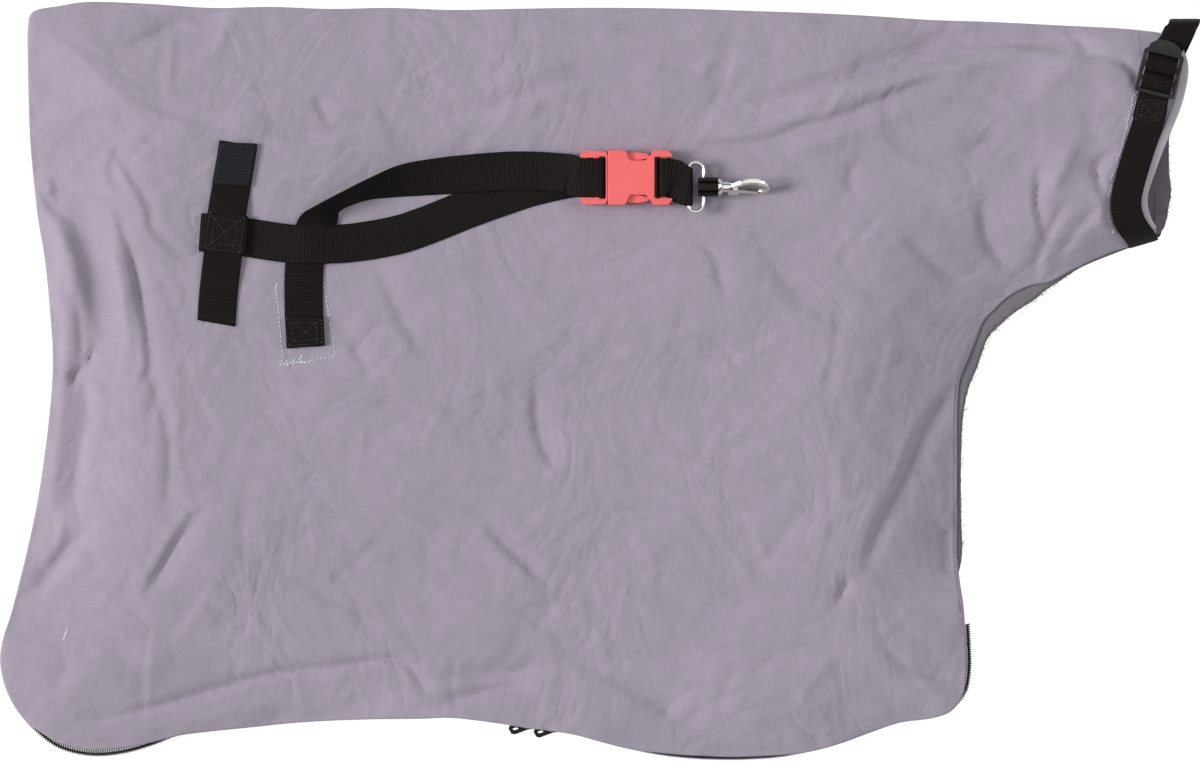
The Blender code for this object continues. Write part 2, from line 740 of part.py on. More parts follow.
mouth = BUCKLE_MOUTH - GAP
frame_outline = rounded((FRAME_END, -FRAME_HALF), (mouth, FRAME_HALF), 3 * MM)
strap_slot = rounded(
    (BAR_END, -FRAME_HALF + FRAME_SIDE - 0.6 * MM),
    (BAR_END + FRAME_SLOT, FRAME_HALF - FRAME_SIDE + 0.6 * MM), 1 * MM, 2,
)
buckle_male = at_buckle(
    plate(
        "buckle_male", [frame_outline, strap_slot],
        MIDDLE - FRAME_THICK / 2, MIDDLE + FRAME_THICK / 2, "red_plastic",
    )
)
waist = box(
    "waist_cut", (FRAME_END - 2 * MM, -BAND_WIDTH / 2 - 0.5 * MM, -1 * MM),
    (BAR_END + 1 * MM, BAND_WIDTH / 2 + 0.5 * MM, BAR_HEIGHT - BAR_THICK / 2),
)
top_waist = box(
    "top_waist_cut", (FRAME_END - 2 * MM, -BAND_WIDTH / 2 - 0.5 * MM, BAR_HEIGHT + BAR_THICK / 2),
    (BAR_END + 1 * MM, BAND_WIDTH / 2 + 0.5 * MM, BUCKLE_THICK + 2 * MM),
)
second_slot = box(
    "second_slot_cut", (FRAME_END + 4.2 * MM, -BAND_WIDTH / 2 - 0.5 * MM, -1 * MM),
    (BAR_END - 3.6 * MM, BAND_WIDTH / 2 + 0.5 * MM, BUCKLE_THICK + 2 * MM),
)
for cutter in (waist, top_waist, second_slot):
    cut(buckle_male, at_buckle(cutter))
prong_low, prong_high = MIDDLE - PRONG_THICK / 2, MIDDLE + PRONG_THICK / 2
root = mouth - 1 * MM
side = [
    (root, 9.4 * MM), (-6 * MM, 9.8 * MM), (1 * MM, 10.6 * MM), (8 * MM, 11.6 * MM),
    (PRONG_REACH, 12.6 * MM), (PRONG_REACH + 1 * MM, 14.0 * MM), (12 * MM, 15.4 * MM),
    (7 * MM, CAVITY_HALF - GAP), (0.5 * MM, CAVITY_HALF - GAP), (-1 * MM, 14.4 * MM),
    (-1.5 * MM, 12.6 * MM), (-6 * MM, 12.4 * MM), (root, 12.8 * MM),
]
for hand in (1, -1):
    loop = [(x, y * hand) for x, y in side]
    arm = plate("prong_cut_%d" % hand, [loop], prong_low, prong_high, "red_plastic")
    cut(buckle_male, at_buckle(arm), "UNION")
tongue = plate(
    "tongue_cut",
    [[
        (root, -2.6 * MM), (11 * MM, -1.8 * MM), (12.5 * MM, 0), (11 * MM, 1.8 * MM),
        (root, 2.6 * MM),
    ]],
    prong_low, prong_high, "red_plastic",
)
cut(buckle_male, at_buckle(tongue), "UNION")

# Buckle, female half: a hollow body with a window in each side and a bar at its end
upper = [
    (BUCKLE_MOUTH, BUCKLE_HALF_WIDTH), (WINDOW_LEFT + 1.6 * MM, BUCKLE_HALF_WIDTH),
    (WINDOW_LEFT + 2.6 * MM, 16.4 * MM),
    (0.6 * MM, WINDOW_DEEP + 0.9 * MM), (2 * MM, WINDOW_DEEP), (11 * MM, WINDOW_DEEP),
    (13.6 * MM, WINDOW_DEEP + 1.8 * MM), (15.4 * MM, 16.4 * MM), (WINDOW_RIGHT, BUCKLE_HALF_WIDTH),
    (26 * MM, BUCKLE_HALF_WIDTH), (BUCKLE_END, BUCKLE_HALF_WIDTH - 2.6 * MM),
]
lower = [(x, -y) for x, y in reversed(upper)]
end_slot = rounded((SLOT_LEFT, -13.4 * MM), (SLOT_RIGHT, 13.4 * MM), 1 * MM, 2)
buckle_female = at_buckle(
    plate("buckle_female", [upper + lower, end_slot], 0, BUCKLE_THICK, "red_plastic")
)
bevel(buckle_female, 1.2 * MM, 2, 50)
cavity = box(
    "cavity_cut", (BUCKLE_MOUTH - 2 * MM, -CAVITY_HALF, MIDDLE - CAVITY_THICK / 2),
    (15 * MM, CAVITY_HALF, MIDDLE + CAVITY_THICK / 2),
)
cut(buckle_female, at_buckle(cavity))
notch_low = MIDDLE - BAR_HALF_THICK
notch_high = MIDDLE + BAR_HALF_THICK
over = box(
    "bar_top_cut", (SLOT_RIGHT - 0.5 * MM, -13.4 * MM, notch_high),
    (BUCKLE_END + 2 * MM, 13.4 * MM, BUCKLE_THICK + 2 * MM),
)
under = box(
    "bar_under_cut", (SLOT_RIGHT - 0.5 * MM, -13.4 * MM, -2 * MM),
    (BUCKLE_END + 2 * MM, 13.4 * MM, notch_low),
)
beyond = box(
    "bar_end_cut", (SLOT_RIGHT + END_BAR, -13.4 * MM, -2 * MM),
    (BUCKLE_END + 2 * MM, 13.4 * MM, BUCKLE_THICK + 2 * MM),
)
for cutter in (over, under, beyond):
    cut(buckle_female, at_buckle(cutter))

# Short webbing loop between the buckle's end bar and the wire ring
bar_x = SLOT_RIGHT + END_BAR / 2
loop_near = math.hypot(END_BAR / 2, BAR_HALF_THICK) + GAP / 2 + BAND / 2
loop_far = WIRE + GAP + BAND / 2


def loop_shift(x):
    """The loop bends sideways on its way to the ring."""
    return HOOK_DROP * step_up(x, BUCKLE_END - 1 * MM, RING_BAR_X - 1 * MM)


def loop_stations():
    stations = []
    profile = []
    for angle in range(60, 256, 30):
        a = math.radians(angle)
        profile.append((bar_x + loop_near * math.cos(a), MIDDLE + loop_near * math.sin(a), a))
    pinch = bar_x + 6.5 * MM
    pinch_end = RING_BAR_X - 4.5 * MM
    squeeze = LAYER / 2
    profile.append((bar_x + 2.6 * MM, MIDDLE - loop_near + GAP, math.radians(275)))
    profile.append((pinch, (MIDDLE + RING_HEIGHT) / 2 - squeeze, math.radians(270)))
    profile.append((pinch_end, RING_HEIGHT - squeeze, math.radians(270)))
    for angle in range(-90, 91, 30):
        a = math.radians(angle)
        profile.append(
            (RING_BAR_X + loop_far * math.cos(a), RING_HEIGHT + loop_far * math.sin(a), a)
        )
    profile.append((pinch_end, RING_HEIGHT + squeeze, math.radians(90)))
    profile.append((pinch, (MIDDLE + RING_HEIGHT) / 2 + squeeze, math.radians(90)))
    profile.append((bar_x + 2.3 * MM, MIDDLE + loop_near - GAP, math.radians(85)))
    for x, z, a in profile:
        centre = BUCKLE + Vector((x, loop_shift(x), z))
        stations.append((centre, Vector((0, 1, 0)), Vector((math.cos(a), 0, math.sin(a)))))
    return stations


band("hook_loop", loop_stations(), BAND_WIDTH, BAND, "black_webbing")

# Wire ring: one bent wire whose two ends turn in the swivel block
RING = BUCKLE + Vector((RING_BAR_X, HOOK_DROP, RING_HEIGHT))


def wire(name, points, radius, material, sides=2):
    """A round wire along the points, as a closed mesh."""
    line = bpy.data.curves.new(name, "CURVE")
    line.dimensions = "3D"
    line.bevel_depth = radius
    line.bevel_resolution = sides
    line.use_fill_caps = True
    run = line.splines.new("POLY")
    run.points.add(len(points) - 1)
    for point, where in zip(run.points, points):
        point.co = (*where, 1)
    holder = bpy.data.objects.new(name + "_line", line)
    CUTTERS.objects.link(holder)
    bpy.context.view_layer.update()
    seen = holder.evaluated_get(bpy.context.evaluated_depsgraph_get())
    mesh = bpy.data.meshes.new_from_object(seen)
    bpy.data.objects.remove(holder, do_unlink=True)
    bpy.data.curves.remove(line)
    bm = bmesh.new()
    bm.from_mesh(mesh)
    bmesh.ops.remove_doubles(bm, verts=bm.verts, dist=1e-6)
    bmesh.ops.recalc_face_normals(bm, faces=bm.faces)
    bm.to_mesh(mesh)
    bm.free()
    mesh.name = name
    thing = add_object(name, mesh, material)
    smooth(thing, 50)
    return thing


half_ring = [
    (0, 0), (0, 11.5), (0.5, 14.2), (2.6, 15.9), (5.2, RING_HALF / MM), (7.9, 15.0),
    (9.4, 12.8), (PIN_X / MM, 10), (PIN_X / MM, 7.5), (PIN_X / MM, PIN_IN / MM),
]
one_side = spline([Vector((x, y, 0)) * MM for x, y in half_ring], 2.6 * MM)
ring_path = [Vector((p.x, -p.y, p.z)) for p in reversed(one_side)] + one_side[1:]
wire_ring = wire("wire_ring", ring_path, WIRE, "nickel")
wire_ring.location = RING

# Swivel block: a turned sleeve, drilled for the ring's ends and for the hook's stem
PIVOT = RING + Vector((PIN_X, 0, 0))


def turned(name, profile, material, steps=20):
    """A profile of (x, radius) points turned about the X axis."""
    bm = bmesh.new()
    line = [bm.verts.new((x, 0, r)) for x, r in profile]
    for a, b in zip(line, line[1:]):
        bm.edges.new((a, b))
    bmesh.ops.spin(
        bm, geom=bm.verts[:] + bm.edges[:], axis=(1, 0, 0), cent=(0, 0, 0),
        angle=math.tau, steps=steps, use_merge=True,
    )
    bmesh.ops.remove_doubles(bm, verts=bm.verts, dist=1e-6)
    return add_object(name, mesh_from(bm, name), material)


right = SLEEVE_LEFT + SLEEVE_LENGTH
swivel_sleeve = turned(
    "swivel_sleeve",
    [
        (SLEEVE_LEFT, CHAMBER), (SLEEVE_LEFT, SLEEVE_RADIUS - 0.4 * MM),
        (SLEEVE_LEFT + 0.5 * MM, SLEEVE_RADIUS), (right - 4.0 * MM, SLEEVE_RADIUS),
        (right - 1.2 * MM, SLEEVE_RADIUS - 0.9 * MM), (right, SLEEVE_RADIUS - 2.4 * MM),
        (right, STEM + RUNNING), (CHAMBER_END, STEM + RUNNING), (CHAMBER_END, CHAMBER),
        (SLEEVE_LEFT, CHAMBER),
    ],
    "dark_metal",
)
swivel_sleeve.location = PIVOT
bm = bmesh.new()
bmesh.ops.create_cone(
    bm, cap_ends=True, segments=16, radius1=WIRE + GAP, radius2=WIRE + GAP,
    depth=3 * SLEEVE_RADIUS, matrix=Matrix.Rotation(math.pi / 2, 4, "X"),
)
pin_hole = add_object("pin_hole_cut", mesh_from(bm, "pin_hole_cut"), None, CUTTERS)
pin_hole.location = PIVOT
cut(swivel_sleeve, pin_hole)
smooth(swivel_sleeve)

# Snap hook: a cast body on a headed stem, seen here nearly on its edge
HOOK = PIVOT + Vector((right + RUNNING, 0, 0))
HEAD = CHAMBER - RUNNING
head_at = CHAMBER_END - right - RUNNING - RUNNING
snap_hook = turned(
    "snap_hook",
    [
        (head_at - 1.6 * MM, 0), (head_at - 1.6 * MM, HEAD), (head_at, HEAD),
        (head_at, STEM), (0, STEM), (0, 3.4 * MM), (1.2 * MM, 3.6 * MM), (6 * MM, 2.6 * MM),
        (8 * MM, 1.0 * MM), (8 * MM, 0),
    ],
    "nickel", 16,
)
bend = HOOK_LENGTH - HOOK_ROD
hook_points = [
    (3 * MM, 0), (6.5 * MM, 1.6 * MM), (10 * MM, 4.0 * MM), (15 * MM, HOOK_HALF),
    (bend - 6 * MM, HOOK_HALF), (bend - 2 * MM, HOOK_HALF - 2.4 * MM), (bend, 0),
    (bend - 1.6 * MM, -HOOK_HALF + 2.6 * MM), (bend - 5 * MM, -HOOK_HALF + 0.6 * MM),
]
hook_rod = wire(
    "hook_rod_cut", spline([Vector((x, y, 0)) for x, y in hook_points], 3 * MM), HOOK_ROD, "nickel"
)
ear = box("ear_cut", (3 * MM, -5.6 * MM, -EAR), (9.5 * MM, 1 * MM, EAR))
throat = box(
    "throat_cut", (3.6 * MM, -9 * MM, -GATE_HALF - GAP), (10.5 * MM, -1.2 * MM, GATE_HALF + GAP)
)
for cutter, operation in ((hook_rod, "UNION"), (ear, "UNION"), (throat, "DIFFERENCE")):
    cut(snap_hook, cutter, operation)
HOOK_FRAME = Matrix.Translation(HOOK) @ Matrix.Rotation(HOOK_ROLL, 4, "X")
for thing in (snap_hook, hook_rod, ear, throat):
    thing.matrix_world = HOOK_FRAME

# Gate: a lever between the hook's two ears, with a thumb nib, on a rivet
gate_reach = bend - 5 * MM - HOOK_ROD / 2 - 2 * GAP
px, py = GATE_PIVOT
gate_loop = [
    (px - 1.9 * MM, py + 1.3 * MM), (px - 1.9 * MM, py - 1.8 * MM),
    (px - 0.6 * MM, py - 3.4 * MM),
    (px + 2.6 * MM, py - 3.6 * MM), (px + 3.4 * MM, py - 1.9 * MM),
    (gate_reach, -HOOK_HALF - 0.5 * MM), (gate_reach, -HOOK_HALF + 1.9 * MM),
    (px + 5 * MM, py + 1.4 * MM), (px + 2 * MM, py + 1.6 * MM),
]
hole = RIVET + GAP
rivet_hole = [
    (px + hole * math.cos(a * math.tau / 12), py + hole * math.sin(a * math.tau / 12))
    for a in range(12)
]
hook_gate = plate("hook_gate", [gate_loop, rivet_hole], -GATE_HALF, GATE_HALF, "nickel")
hook_gate.matrix_world = HOOK_FRAME
bm = bmesh.new()
bmesh.ops.create_cone(bm, cap_ends=True, segments=14, radius1=RIVET, radius2=RIVET, depth=2 * EAR)
rivet_core = add_object("rivet_core_cut", mesh_from(bm, "rivet_core_cut"), "nickel")
rivet_core.matrix_world = HOOK_FRAME @ Matrix.Translation((px, py, 0))
cut(snap_hook, rivet_core, "UNION")

# Zip: two tapes, each with half of the chain, in a line under the front panel's edge
ZIP_PATH_POINTS = [place(*p) for p in ZIP_LINE]


def zip_path():
    """The chain's line: smooth at both ends and quite straight where the sliders run."""
    a, b = ZIP_STRAIGHT
    head = spline([p.to_3d() for p in ZIP_PATH_POINTS[: a + 1]], 17 * MM)
    tail = spline([p.to_3d() for p in ZIP_PATH_POINTS[b:]], 17 * MM)
    middle = [head[-1].lerp(tail[0], i / 4) for i in range(1, 4)]
    return head + middle + tail


ZIP_PATH = zip_path()


def zip_frames():
    """At each point: the place, the level way out of the bag, and the line's direction."""
    frames = []
    for i, point in enumerate(ZIP_PATH):
        along = (ZIP_PATH[min(i + 1, len(ZIP_PATH) - 1)] - ZIP_PATH[max(i - 1, 0)]).normalized()
        out = Vector((-along.y, along.x, 0))
        frames.append((point, out, along))
    return frames


SLOPE_IN = (math.cos(ZIP_TILT), math.sin(ZIP_TILT))
FACE_OUT = (-math.sin(ZIP_TILT), math.cos(ZIP_TILT))


def in_band(across, face):
    """Section place, inwards and up, from a place across the chain and off its face."""
    return (
        across * SLOPE_IN[0] + face * FACE_OUT[0],
        ZIP_HEIGHT + across * SLOPE_IN[1] + face * FACE_OUT[1],
    )


def along_zip(name, section, material, skip=0):
    """A closed section of (inwards, up) points carried along the zip's line."""
    bm = bmesh.new()
    rings = []
    frames = zip_frames()
    for point, out, _ in frames[skip: len(frames) - skip]:
        ring = []
        for inwards, up in section(point, out):
            ring.append(bm.verts.new(point - out * inwards + UP * up))
        rings.append(ring)
    count = len(rings[0])
    for one, two in zip(rings, rings[1:]):
        for i in range(count):
            j = (i + 1) % count
            bm.faces.new((one[i], one[j], two[j], two[i]))
    bm.faces.new(rings[0])
    bm.faces.new(list(reversed(rings[-1])))
    return add_object(name, mesh_from(bm, name), material)


def thick_line(line, thick):
    """A bent line of section points given a thickness."""
    left, right_side = [], []
    for i, p in enumerate(line):
        a, b = Vector(line[max(i - 1, 0)]), Vector(line[min(i + 1, len(line) - 1)])
        way = (b - a).normalized()
        side_way = Vector((-way.y, way.x)) * thick / 2
        left.append(Vector(p) + side_way)
        right_side.append(Vector(p) - side_way)
    return left + list(reversed(right_side))


half_slot = CHAIN_SLOT / 2
half_chain = CHAIN_WIDTH / 2
deep = CHAIN_THICK / 2


def chain_section(side):
    """One half of the chain: side is 1 for the front panel's half, -1 for the back one's."""
    corners = (
        (half_slot, deep), (half_slot, -deep), (half_chain, -deep * 0.6), (half_chain, deep * 0.6),
    )
    return [in_band(side * a, f) for a, f in corners]


def front_tape_section(point, out):
    """From the chain up to the underside of the front panel."""
    reach = 8.2 * MM
    near_point = (point - out * reach).to_2d()
    top = skin_height(near_point) - 1.3 * CLOTH - 2 * GAP - TAPE
    start = in_band(half_chain + GAP, 0)
    knee = in_band(half_chain + 4 * MM, 0)
    return thick_line([start, knee, (reach, max(top, knee[1] + 1 * MM))], TAPE)


def back_tape_section():
    """From the chain down round a fold and back along the back panel."""
    low = CLOTH + GAP + TAPE / 2 + 0.1 * MM
    start = in_band(-half_chain - GAP, 0)
    knee = in_band(-half_chain - 1.5 * MM, 0)
    fold = (knee[0] - 0.3 * MM, (knee[1] + low) / 2)
    return thick_line([start, knee, fold, (knee[0] + 1.8 * MM, low), (7 * MM, low)], TAPE)


along_zip("zip_tape_front", front_tape_section, "black_tape")
along_zip("zip_tape_back", lambda point, out: back_tape_section(), "black_tape")
along_zip("zip_chain_front", lambda point, out: chain_section(1), "black_plastic", skip=1)
along_zip("zip_chain_back", lambda point, out: chain_section(-1), "black_plastic", skip=1)

# Sliders and their pulls, on the straight stretch
ZIP_A, ZIP_B = ZIP_PATH_POINTS[ZIP_STRAIGHT[0]], ZIP_PATH_POINTS[ZIP_STRAIGHT[1]]
ZIP_WAY = (ZIP_B - ZIP_A).normalized().to_3d()
ZIP_OUT = Vector((-ZIP_WAY.y, ZIP_WAY.x, 0))


def slider_frame(point):
    """Local x along the zip towards -X, y across the chain outwards and down, z off its face."""
    foot = place(*point).to_3d()
    on_line = ZIP_A.to_3d() + ZIP_WAY * (foot - ZIP_A.to_3d()).dot(ZIP_WAY)
    face = ZIP_OUT * math.sin(ZIP_TILT) + UP * math.cos(ZIP_TILT)
    across = face.cross(ZIP_WAY)
    frame = Matrix((ZIP_WAY, across, face)).transposed().to_4x4()
    frame.translation = on_line + UP * ZIP_HEIGHT
    return frame


def make_slider(hand, point):
    frame = slider_frame(point)
    half = SLIDER_LENGTH / 2
    wide = SLIDER_WIDTH / 2
    shape = [
        (-half, -wide * 0.75), (-half * 0.5, -wide), (half, -wide * 0.9), (half, -1.2 * MM),
        (half * 0.8, 0), (half, 1.2 * MM), (half, wide * 0.9), (-half * 0.5, wide),
        (-half, wide * 0.75),
    ]
    name = "zip_slider_" + hand
    slider = plate(name, [shape], PLATE_LOW, PLATE_LOW + SLIDER_PLATE, "dark_metal")
    inner = plate(name + "_under_cut", [shape], -PLATE_LOW - SLIDER_PLATE, -PLATE_LOW, "dark_metal")
    slit = CHAIN_SLOT / 2 - GAP
    post = box(
        name + "_post_cut", (-half + 0.6 * MM, -slit, -PLATE_LOW - SLIDER_PLATE / 2),
        (-half + 4 * MM, slit, PLATE_LOW + SLIDER_PLATE / 2),
    )
    top = PLATE_LOW + SLIDER_PLATE
    crown = top + LUG_HIGH
    lug_outline = [
        (-LUG_LONG / 2, top - 0.4 * MM), (LUG_LONG / 2, top - 0.4 * MM),
        (LUG_LONG / 2, top + 1.4 * MM), (LUG_LONG / 4, crown - 0.5 * MM), (0, crown),
        (-LUG_LONG / 4, crown - 0.5 * MM), (-LUG_LONG / 2, top + 1.4 * MM),
    ]
    eye = rounded((-1.5 * MM, top + 0.25 * MM), (1.5 * MM, top + LUG_HIGH - 1.2 * MM), 0.5 * MM, 2)
    lug = plate(name + "_lug_cut", [lug_outline, eye], -LUG_WIDE / 2, LUG_WIDE / 2, "dark_metal")
    lug.data.transform(Matrix.Rotation(math.pi / 2, 4, "X"))
    for extra in (inner, post, lug):
        cut(slider, extra, "UNION")
    for thing in (slider, inner, post, lug):
        thing.matrix_world = frame
    pull_height = top + 0.25 * MM + CROSSBAR + 0.35 * MM
    pull_frame = (
        frame @ Matrix.Translation((0, 0, pull_height)) @ Matrix.Rotation(PULL_SKEW, 4, "Z")
    )
    wide = PULL_WIDTH / 2
    tab = [
        (-CROSSBAR, -wide * 0.96), (PULL_LENGTH - 1.5 * MM, -wide),
        (PULL_LENGTH, -wide * 0.6), (PULL_LENGTH, wide * 0.6), (PULL_LENGTH - 1.5 * MM, wide),
        (-CROSSBAR, wide * 0.96),
    ]
    room = LUG_WIDE / 2 + GAP + LUG_LONG / 2 * math.sin(PULL_SKEW)
    bail = [(CROSSBAR, -room), (CROSSBAR, room), (3.4 * MM, room), (3.4 * MM, -room)]
    oval = rounded((5.0 * MM, -1.5 * MM), (PULL_LENGTH - 1.4 * MM, 1.5 * MM), 1.4 * MM, 3)
    pull = plate("zip_pull_" + hand, [tab, bail, oval], -CROSSBAR, CROSSBAR, "black_plastic")
    pull.matrix_world = pull_frame


for hand, point in SLIDERS.items():
    make_slider(hand, point)

# Inner reinforcement, sewn under the cloth where the strap's tail lies
patch_points = [place(*p) for p in PATCH]
under_cloth = LOFT - CLOTH - GAP
plate(
    "inner_reinforcement", [[(p.x, p.y) for p in patch_points]],
    under_cloth - PATCH_THICK, under_cloth, "grey_cotton",
)

# Ladder lock: a moulded frame with two inner bars and a thumb tab
LOCK_V = Vector((math.sin(-LOCK_TILT), math.cos(LOCK_TILT), 0))
LOCK_U = Vector((LOCK_V.y, -LOCK_V.x, 0))
LOCK_AT = place(*LOCK_FOOT).to_3d()
LOCK_Z = NECK_LIFT + LOFT + 6.2 * MM
LOCK_FRAME = Matrix((LOCK_U, LOCK_V, UP)).transposed().to_4x4()
LOCK_FRAME.translation = LOCK_AT + UP * LOCK_Z
LOCK_SIDE = (LOCK_WIDTH - NECK_WIDTH) / 2 - 0.6 * MM
lock_half = LOCK_WIDTH / 2
inner_half = lock_half - LOCK_SIDE


def lock_outline():
    loop = [
        (lock_half - 1 * MM, 0), (lock_half, 1 * MM), (lock_half, LOCK_LENGTH - 1.5 * MM),
        (lock_half - 1.5 * MM, LOCK_LENGTH),
    ]
    for i in range(0, 9):
        a = math.pi * i / 8
        loop.append(((lock_half - 2.2 * MM) * math.cos(a), LOCK_LENGTH + LOCK_TAB * math.sin(a)))
    loop += [
        (-lock_half + 1.5 * MM, LOCK_LENGTH), (-lock_half, LOCK_LENGTH - 1.5 * MM),
        (-lock_half, 1 * MM), (-lock_half + 1 * MM, 0),
    ]
    return loop


slots = [
    rounded((-inner_half, LOCK_EDGE), (inner_half, BAR_A - LOCK_RIB / 2), 0.6 * MM, 1),
    rounded((-inner_half, BAR_A + LOCK_RIB / 2), (inner_half, BAR_B - LOCK_RIB / 2), 0.6 * MM, 1),
    rounded((-inner_half, BAR_B + LOCK_RIB / 2), (inner_half, LOCK_LENGTH - LOCK_EDGE), 0.6 * MM, 1),
]
ladder_lock = plate(
    "ladder_lock", [lock_outline()] + slots, -LOCK_THICK / 2, LOCK_THICK / 2, "black_plastic"
)
bevel(ladder_lock, 0.5 * MM, 1, 60)
ladder_lock.matrix_world = LOCK_FRAME


def neck_stations():
    """Sewn end, round the lock's lower bar, down the hem, round the back and into the lock."""
    stations = []
    high = LOCK_THICK / 2 + GAP + NECK_BAND / 2
    low = high + NECK_BAND + GAP
    near = LOCK_RIB / 2 + GAP + NECK_BAND / 2
    over_bar = LOCK_THICK / 2 + GAP + NECK_BAND / 2

    def lock_point(v, h):
        return LOCK_FRAME @ Vector((0, v, h))

    def put(v, h, face_v, face_h):
        face = LOCK_V * face_v + UP * face_h
        stations.append((lock_point(v, h), LOCK_U, face.normalized()))

    put(-17 * MM, -low - 1.2 * MM, 0, -1)
    put(-4 * MM, -low, 0, -1)
    put(6 * MM, -low, 0, -1)
    put(BAR_A + 1.0 * MM, -low + 0.3 * MM, 0.3, -1)
    put(BAR_A + near + 0.5 * MM, -1.6 * MM, 1, -0.4)
    put(BAR_A + near + 0.2 * MM, 0.8 * MM, 1, 0.2)
    put(BAR_A + near * 0.6, over_bar - 0.1 * MM, 0.5, 1)
    put(BAR_A, over_bar + 0.1 * MM, 0, 1)
    put(BAR_A - near * 0.6, over_bar - 0.1 * MM, -0.5, 1)
    put(BAR_A - near - 0.2 * MM, 0.6 * MM, -1, 0.2)
    put(BAR_A - near - 1.0 * MM, -1.3 * MM, -1, 0.7)
    put(LOCK_EDGE * 0.5, -high, 0, 1)
    put(-2.5 * MM, -high, 0, 1)
    run = [place(*p) for p in NECK_RUN]
    centres = []
    for p in run:
        top = max(skin_height(p + LOCK_U.to_2d() * s) for s in (-NECK_WIDTH / 2, 0, NECK_WIDTH / 2))
        centres.append(Vector((p.x, p.y, top + NECK_BAND / 2 + HEM_CLEAR)))
    centres[0].z = max(centres[0].z, LOCK_Z - high - 1.0 * MM)
    wrap_heights = (13 * MM, 7 * MM, 3.4 * MM, NECK_BAND / 2)
    wrap = [place(*p).to_3d() + UP * z for p, z in zip(NECK_WRAP, wrap_heights)]
    across_end = Vector((0.94, 0.34, 0)).normalized()
    fine = spline(centres + wrap[:1], 11 * MM)[:-1]
    stations += route(fine)
    faces = ((0.5, -0.86, 0.6), (0.5, -0.86, 0.1), (0.5, -0.86, -0.5), (0, 0, -1))
    for centre, face in zip(wrap, faces):
        face = Vector(face)
        stations.append((centre, across_end, face - across_end * face.dot(across_end)))
    for centre, flat, _ in route(
        spline([place(*p).to_3d() + UP * NECK_BAND / 2 for p in NECK_BACK], 25 * MM)
    ):
        stations.append((centre, -flat, -UP))
    loop_heights = (2.0 * MM, 8 * MM, 17 * MM, LOCK_Z - 4.5 * MM, LOCK_Z - 2.5 * MM)
    loop_faces = ((0, 0.4, -1), (0, 1, -0.2), (0, 1, 0.2), (0, 0.5, 1), (0, 0.1, 1))
    for point, z, face in zip(NECK_TOP, loop_heights, loop_faces):
        centre = place(*point).to_3d() + UP * z
        stations.append((centre, Vector((1, 0, 0)), Vector(face)))
    put(LOCK_LENGTH - 1.2 * MM, -high, 0, 1)
    put(LOCK_LENGTH - LOCK_EDGE - 0.9 * MM, -high + 0.2 * MM, 0.2, 1)
    put(BAR_B + near + 0.5 * MM, -0.4 * MM, 1, 0.8)
    put(BAR_B + near * 0.6, over_bar - 0.1 * MM, 0.5, 1)
    put(BAR_B, over_bar + 0.1 * MM, 0, 1)
    put(BAR_B - near * 0.6, over_bar - 0.1 * MM, -0.5, 1)
    put(BAR_B - near - 0.2 * MM, 0.6 * MM, -1, 0.2)
    put(BAR_B - near - 0.2 * MM, -1.4 * MM, -1, -0.3)
    put(BAR_B - 0.6 * MM, -low + 0.2 * MM, -0.3, -1)
    put(BAR_B + 4 * MM, -low, 0, -1)
    put(LOCK_LENGTH + 1 * MM, -low, 0, -1)
    return stations


band("neck_strap", neck_stations(), NECK_WIDTH, NECK_BAND, "black_webbing")
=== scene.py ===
import math
import bmesh
import bpy
import numpy as np
from mathutils import Matrix, Vector
from mathutils.geometry import delaunay_2d_cdt


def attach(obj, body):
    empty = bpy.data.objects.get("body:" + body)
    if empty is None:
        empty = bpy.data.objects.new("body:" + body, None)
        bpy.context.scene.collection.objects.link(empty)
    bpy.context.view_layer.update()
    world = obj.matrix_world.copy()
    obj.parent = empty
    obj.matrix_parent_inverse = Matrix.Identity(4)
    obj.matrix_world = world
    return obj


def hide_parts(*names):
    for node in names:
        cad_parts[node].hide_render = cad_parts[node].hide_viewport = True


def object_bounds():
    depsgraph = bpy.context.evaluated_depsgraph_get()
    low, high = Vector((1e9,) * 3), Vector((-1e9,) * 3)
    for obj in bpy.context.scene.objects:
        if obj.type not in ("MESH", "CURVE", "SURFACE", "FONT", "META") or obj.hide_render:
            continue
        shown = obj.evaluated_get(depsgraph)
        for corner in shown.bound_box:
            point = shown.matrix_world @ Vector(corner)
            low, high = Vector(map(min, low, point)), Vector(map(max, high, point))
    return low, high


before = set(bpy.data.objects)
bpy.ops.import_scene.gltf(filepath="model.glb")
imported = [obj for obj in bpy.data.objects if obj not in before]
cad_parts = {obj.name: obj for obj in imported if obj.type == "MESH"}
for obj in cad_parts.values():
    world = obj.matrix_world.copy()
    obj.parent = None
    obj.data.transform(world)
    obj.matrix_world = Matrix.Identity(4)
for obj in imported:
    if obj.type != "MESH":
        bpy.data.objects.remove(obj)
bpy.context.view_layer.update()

# The bag lies flat and is seen from straight above through a long lens, so that its edges
# fall where the picture has them. A big soft lamp stands at the closed end, low enough
# for the folds to show, and a weaker one opposite.
scene = bpy.context.scene
scene.view_settings.view_transform = "Standard"
CAMERA_HEIGHT = 8.0
VIEW_WIDTH = 0.78
ROOM_LIGHT = 0.37
camera = bpy.data.objects.new("camera", bpy.data.cameras.new("camera"))
scene.collection.objects.link(camera)
camera.location = (0, 0, CAMERA_HEIGHT)
camera.data.lens = camera.data.sensor_width * CAMERA_HEIGHT / VIEW_WIDTH
camera.data.clip_end = 40
scene.camera = camera

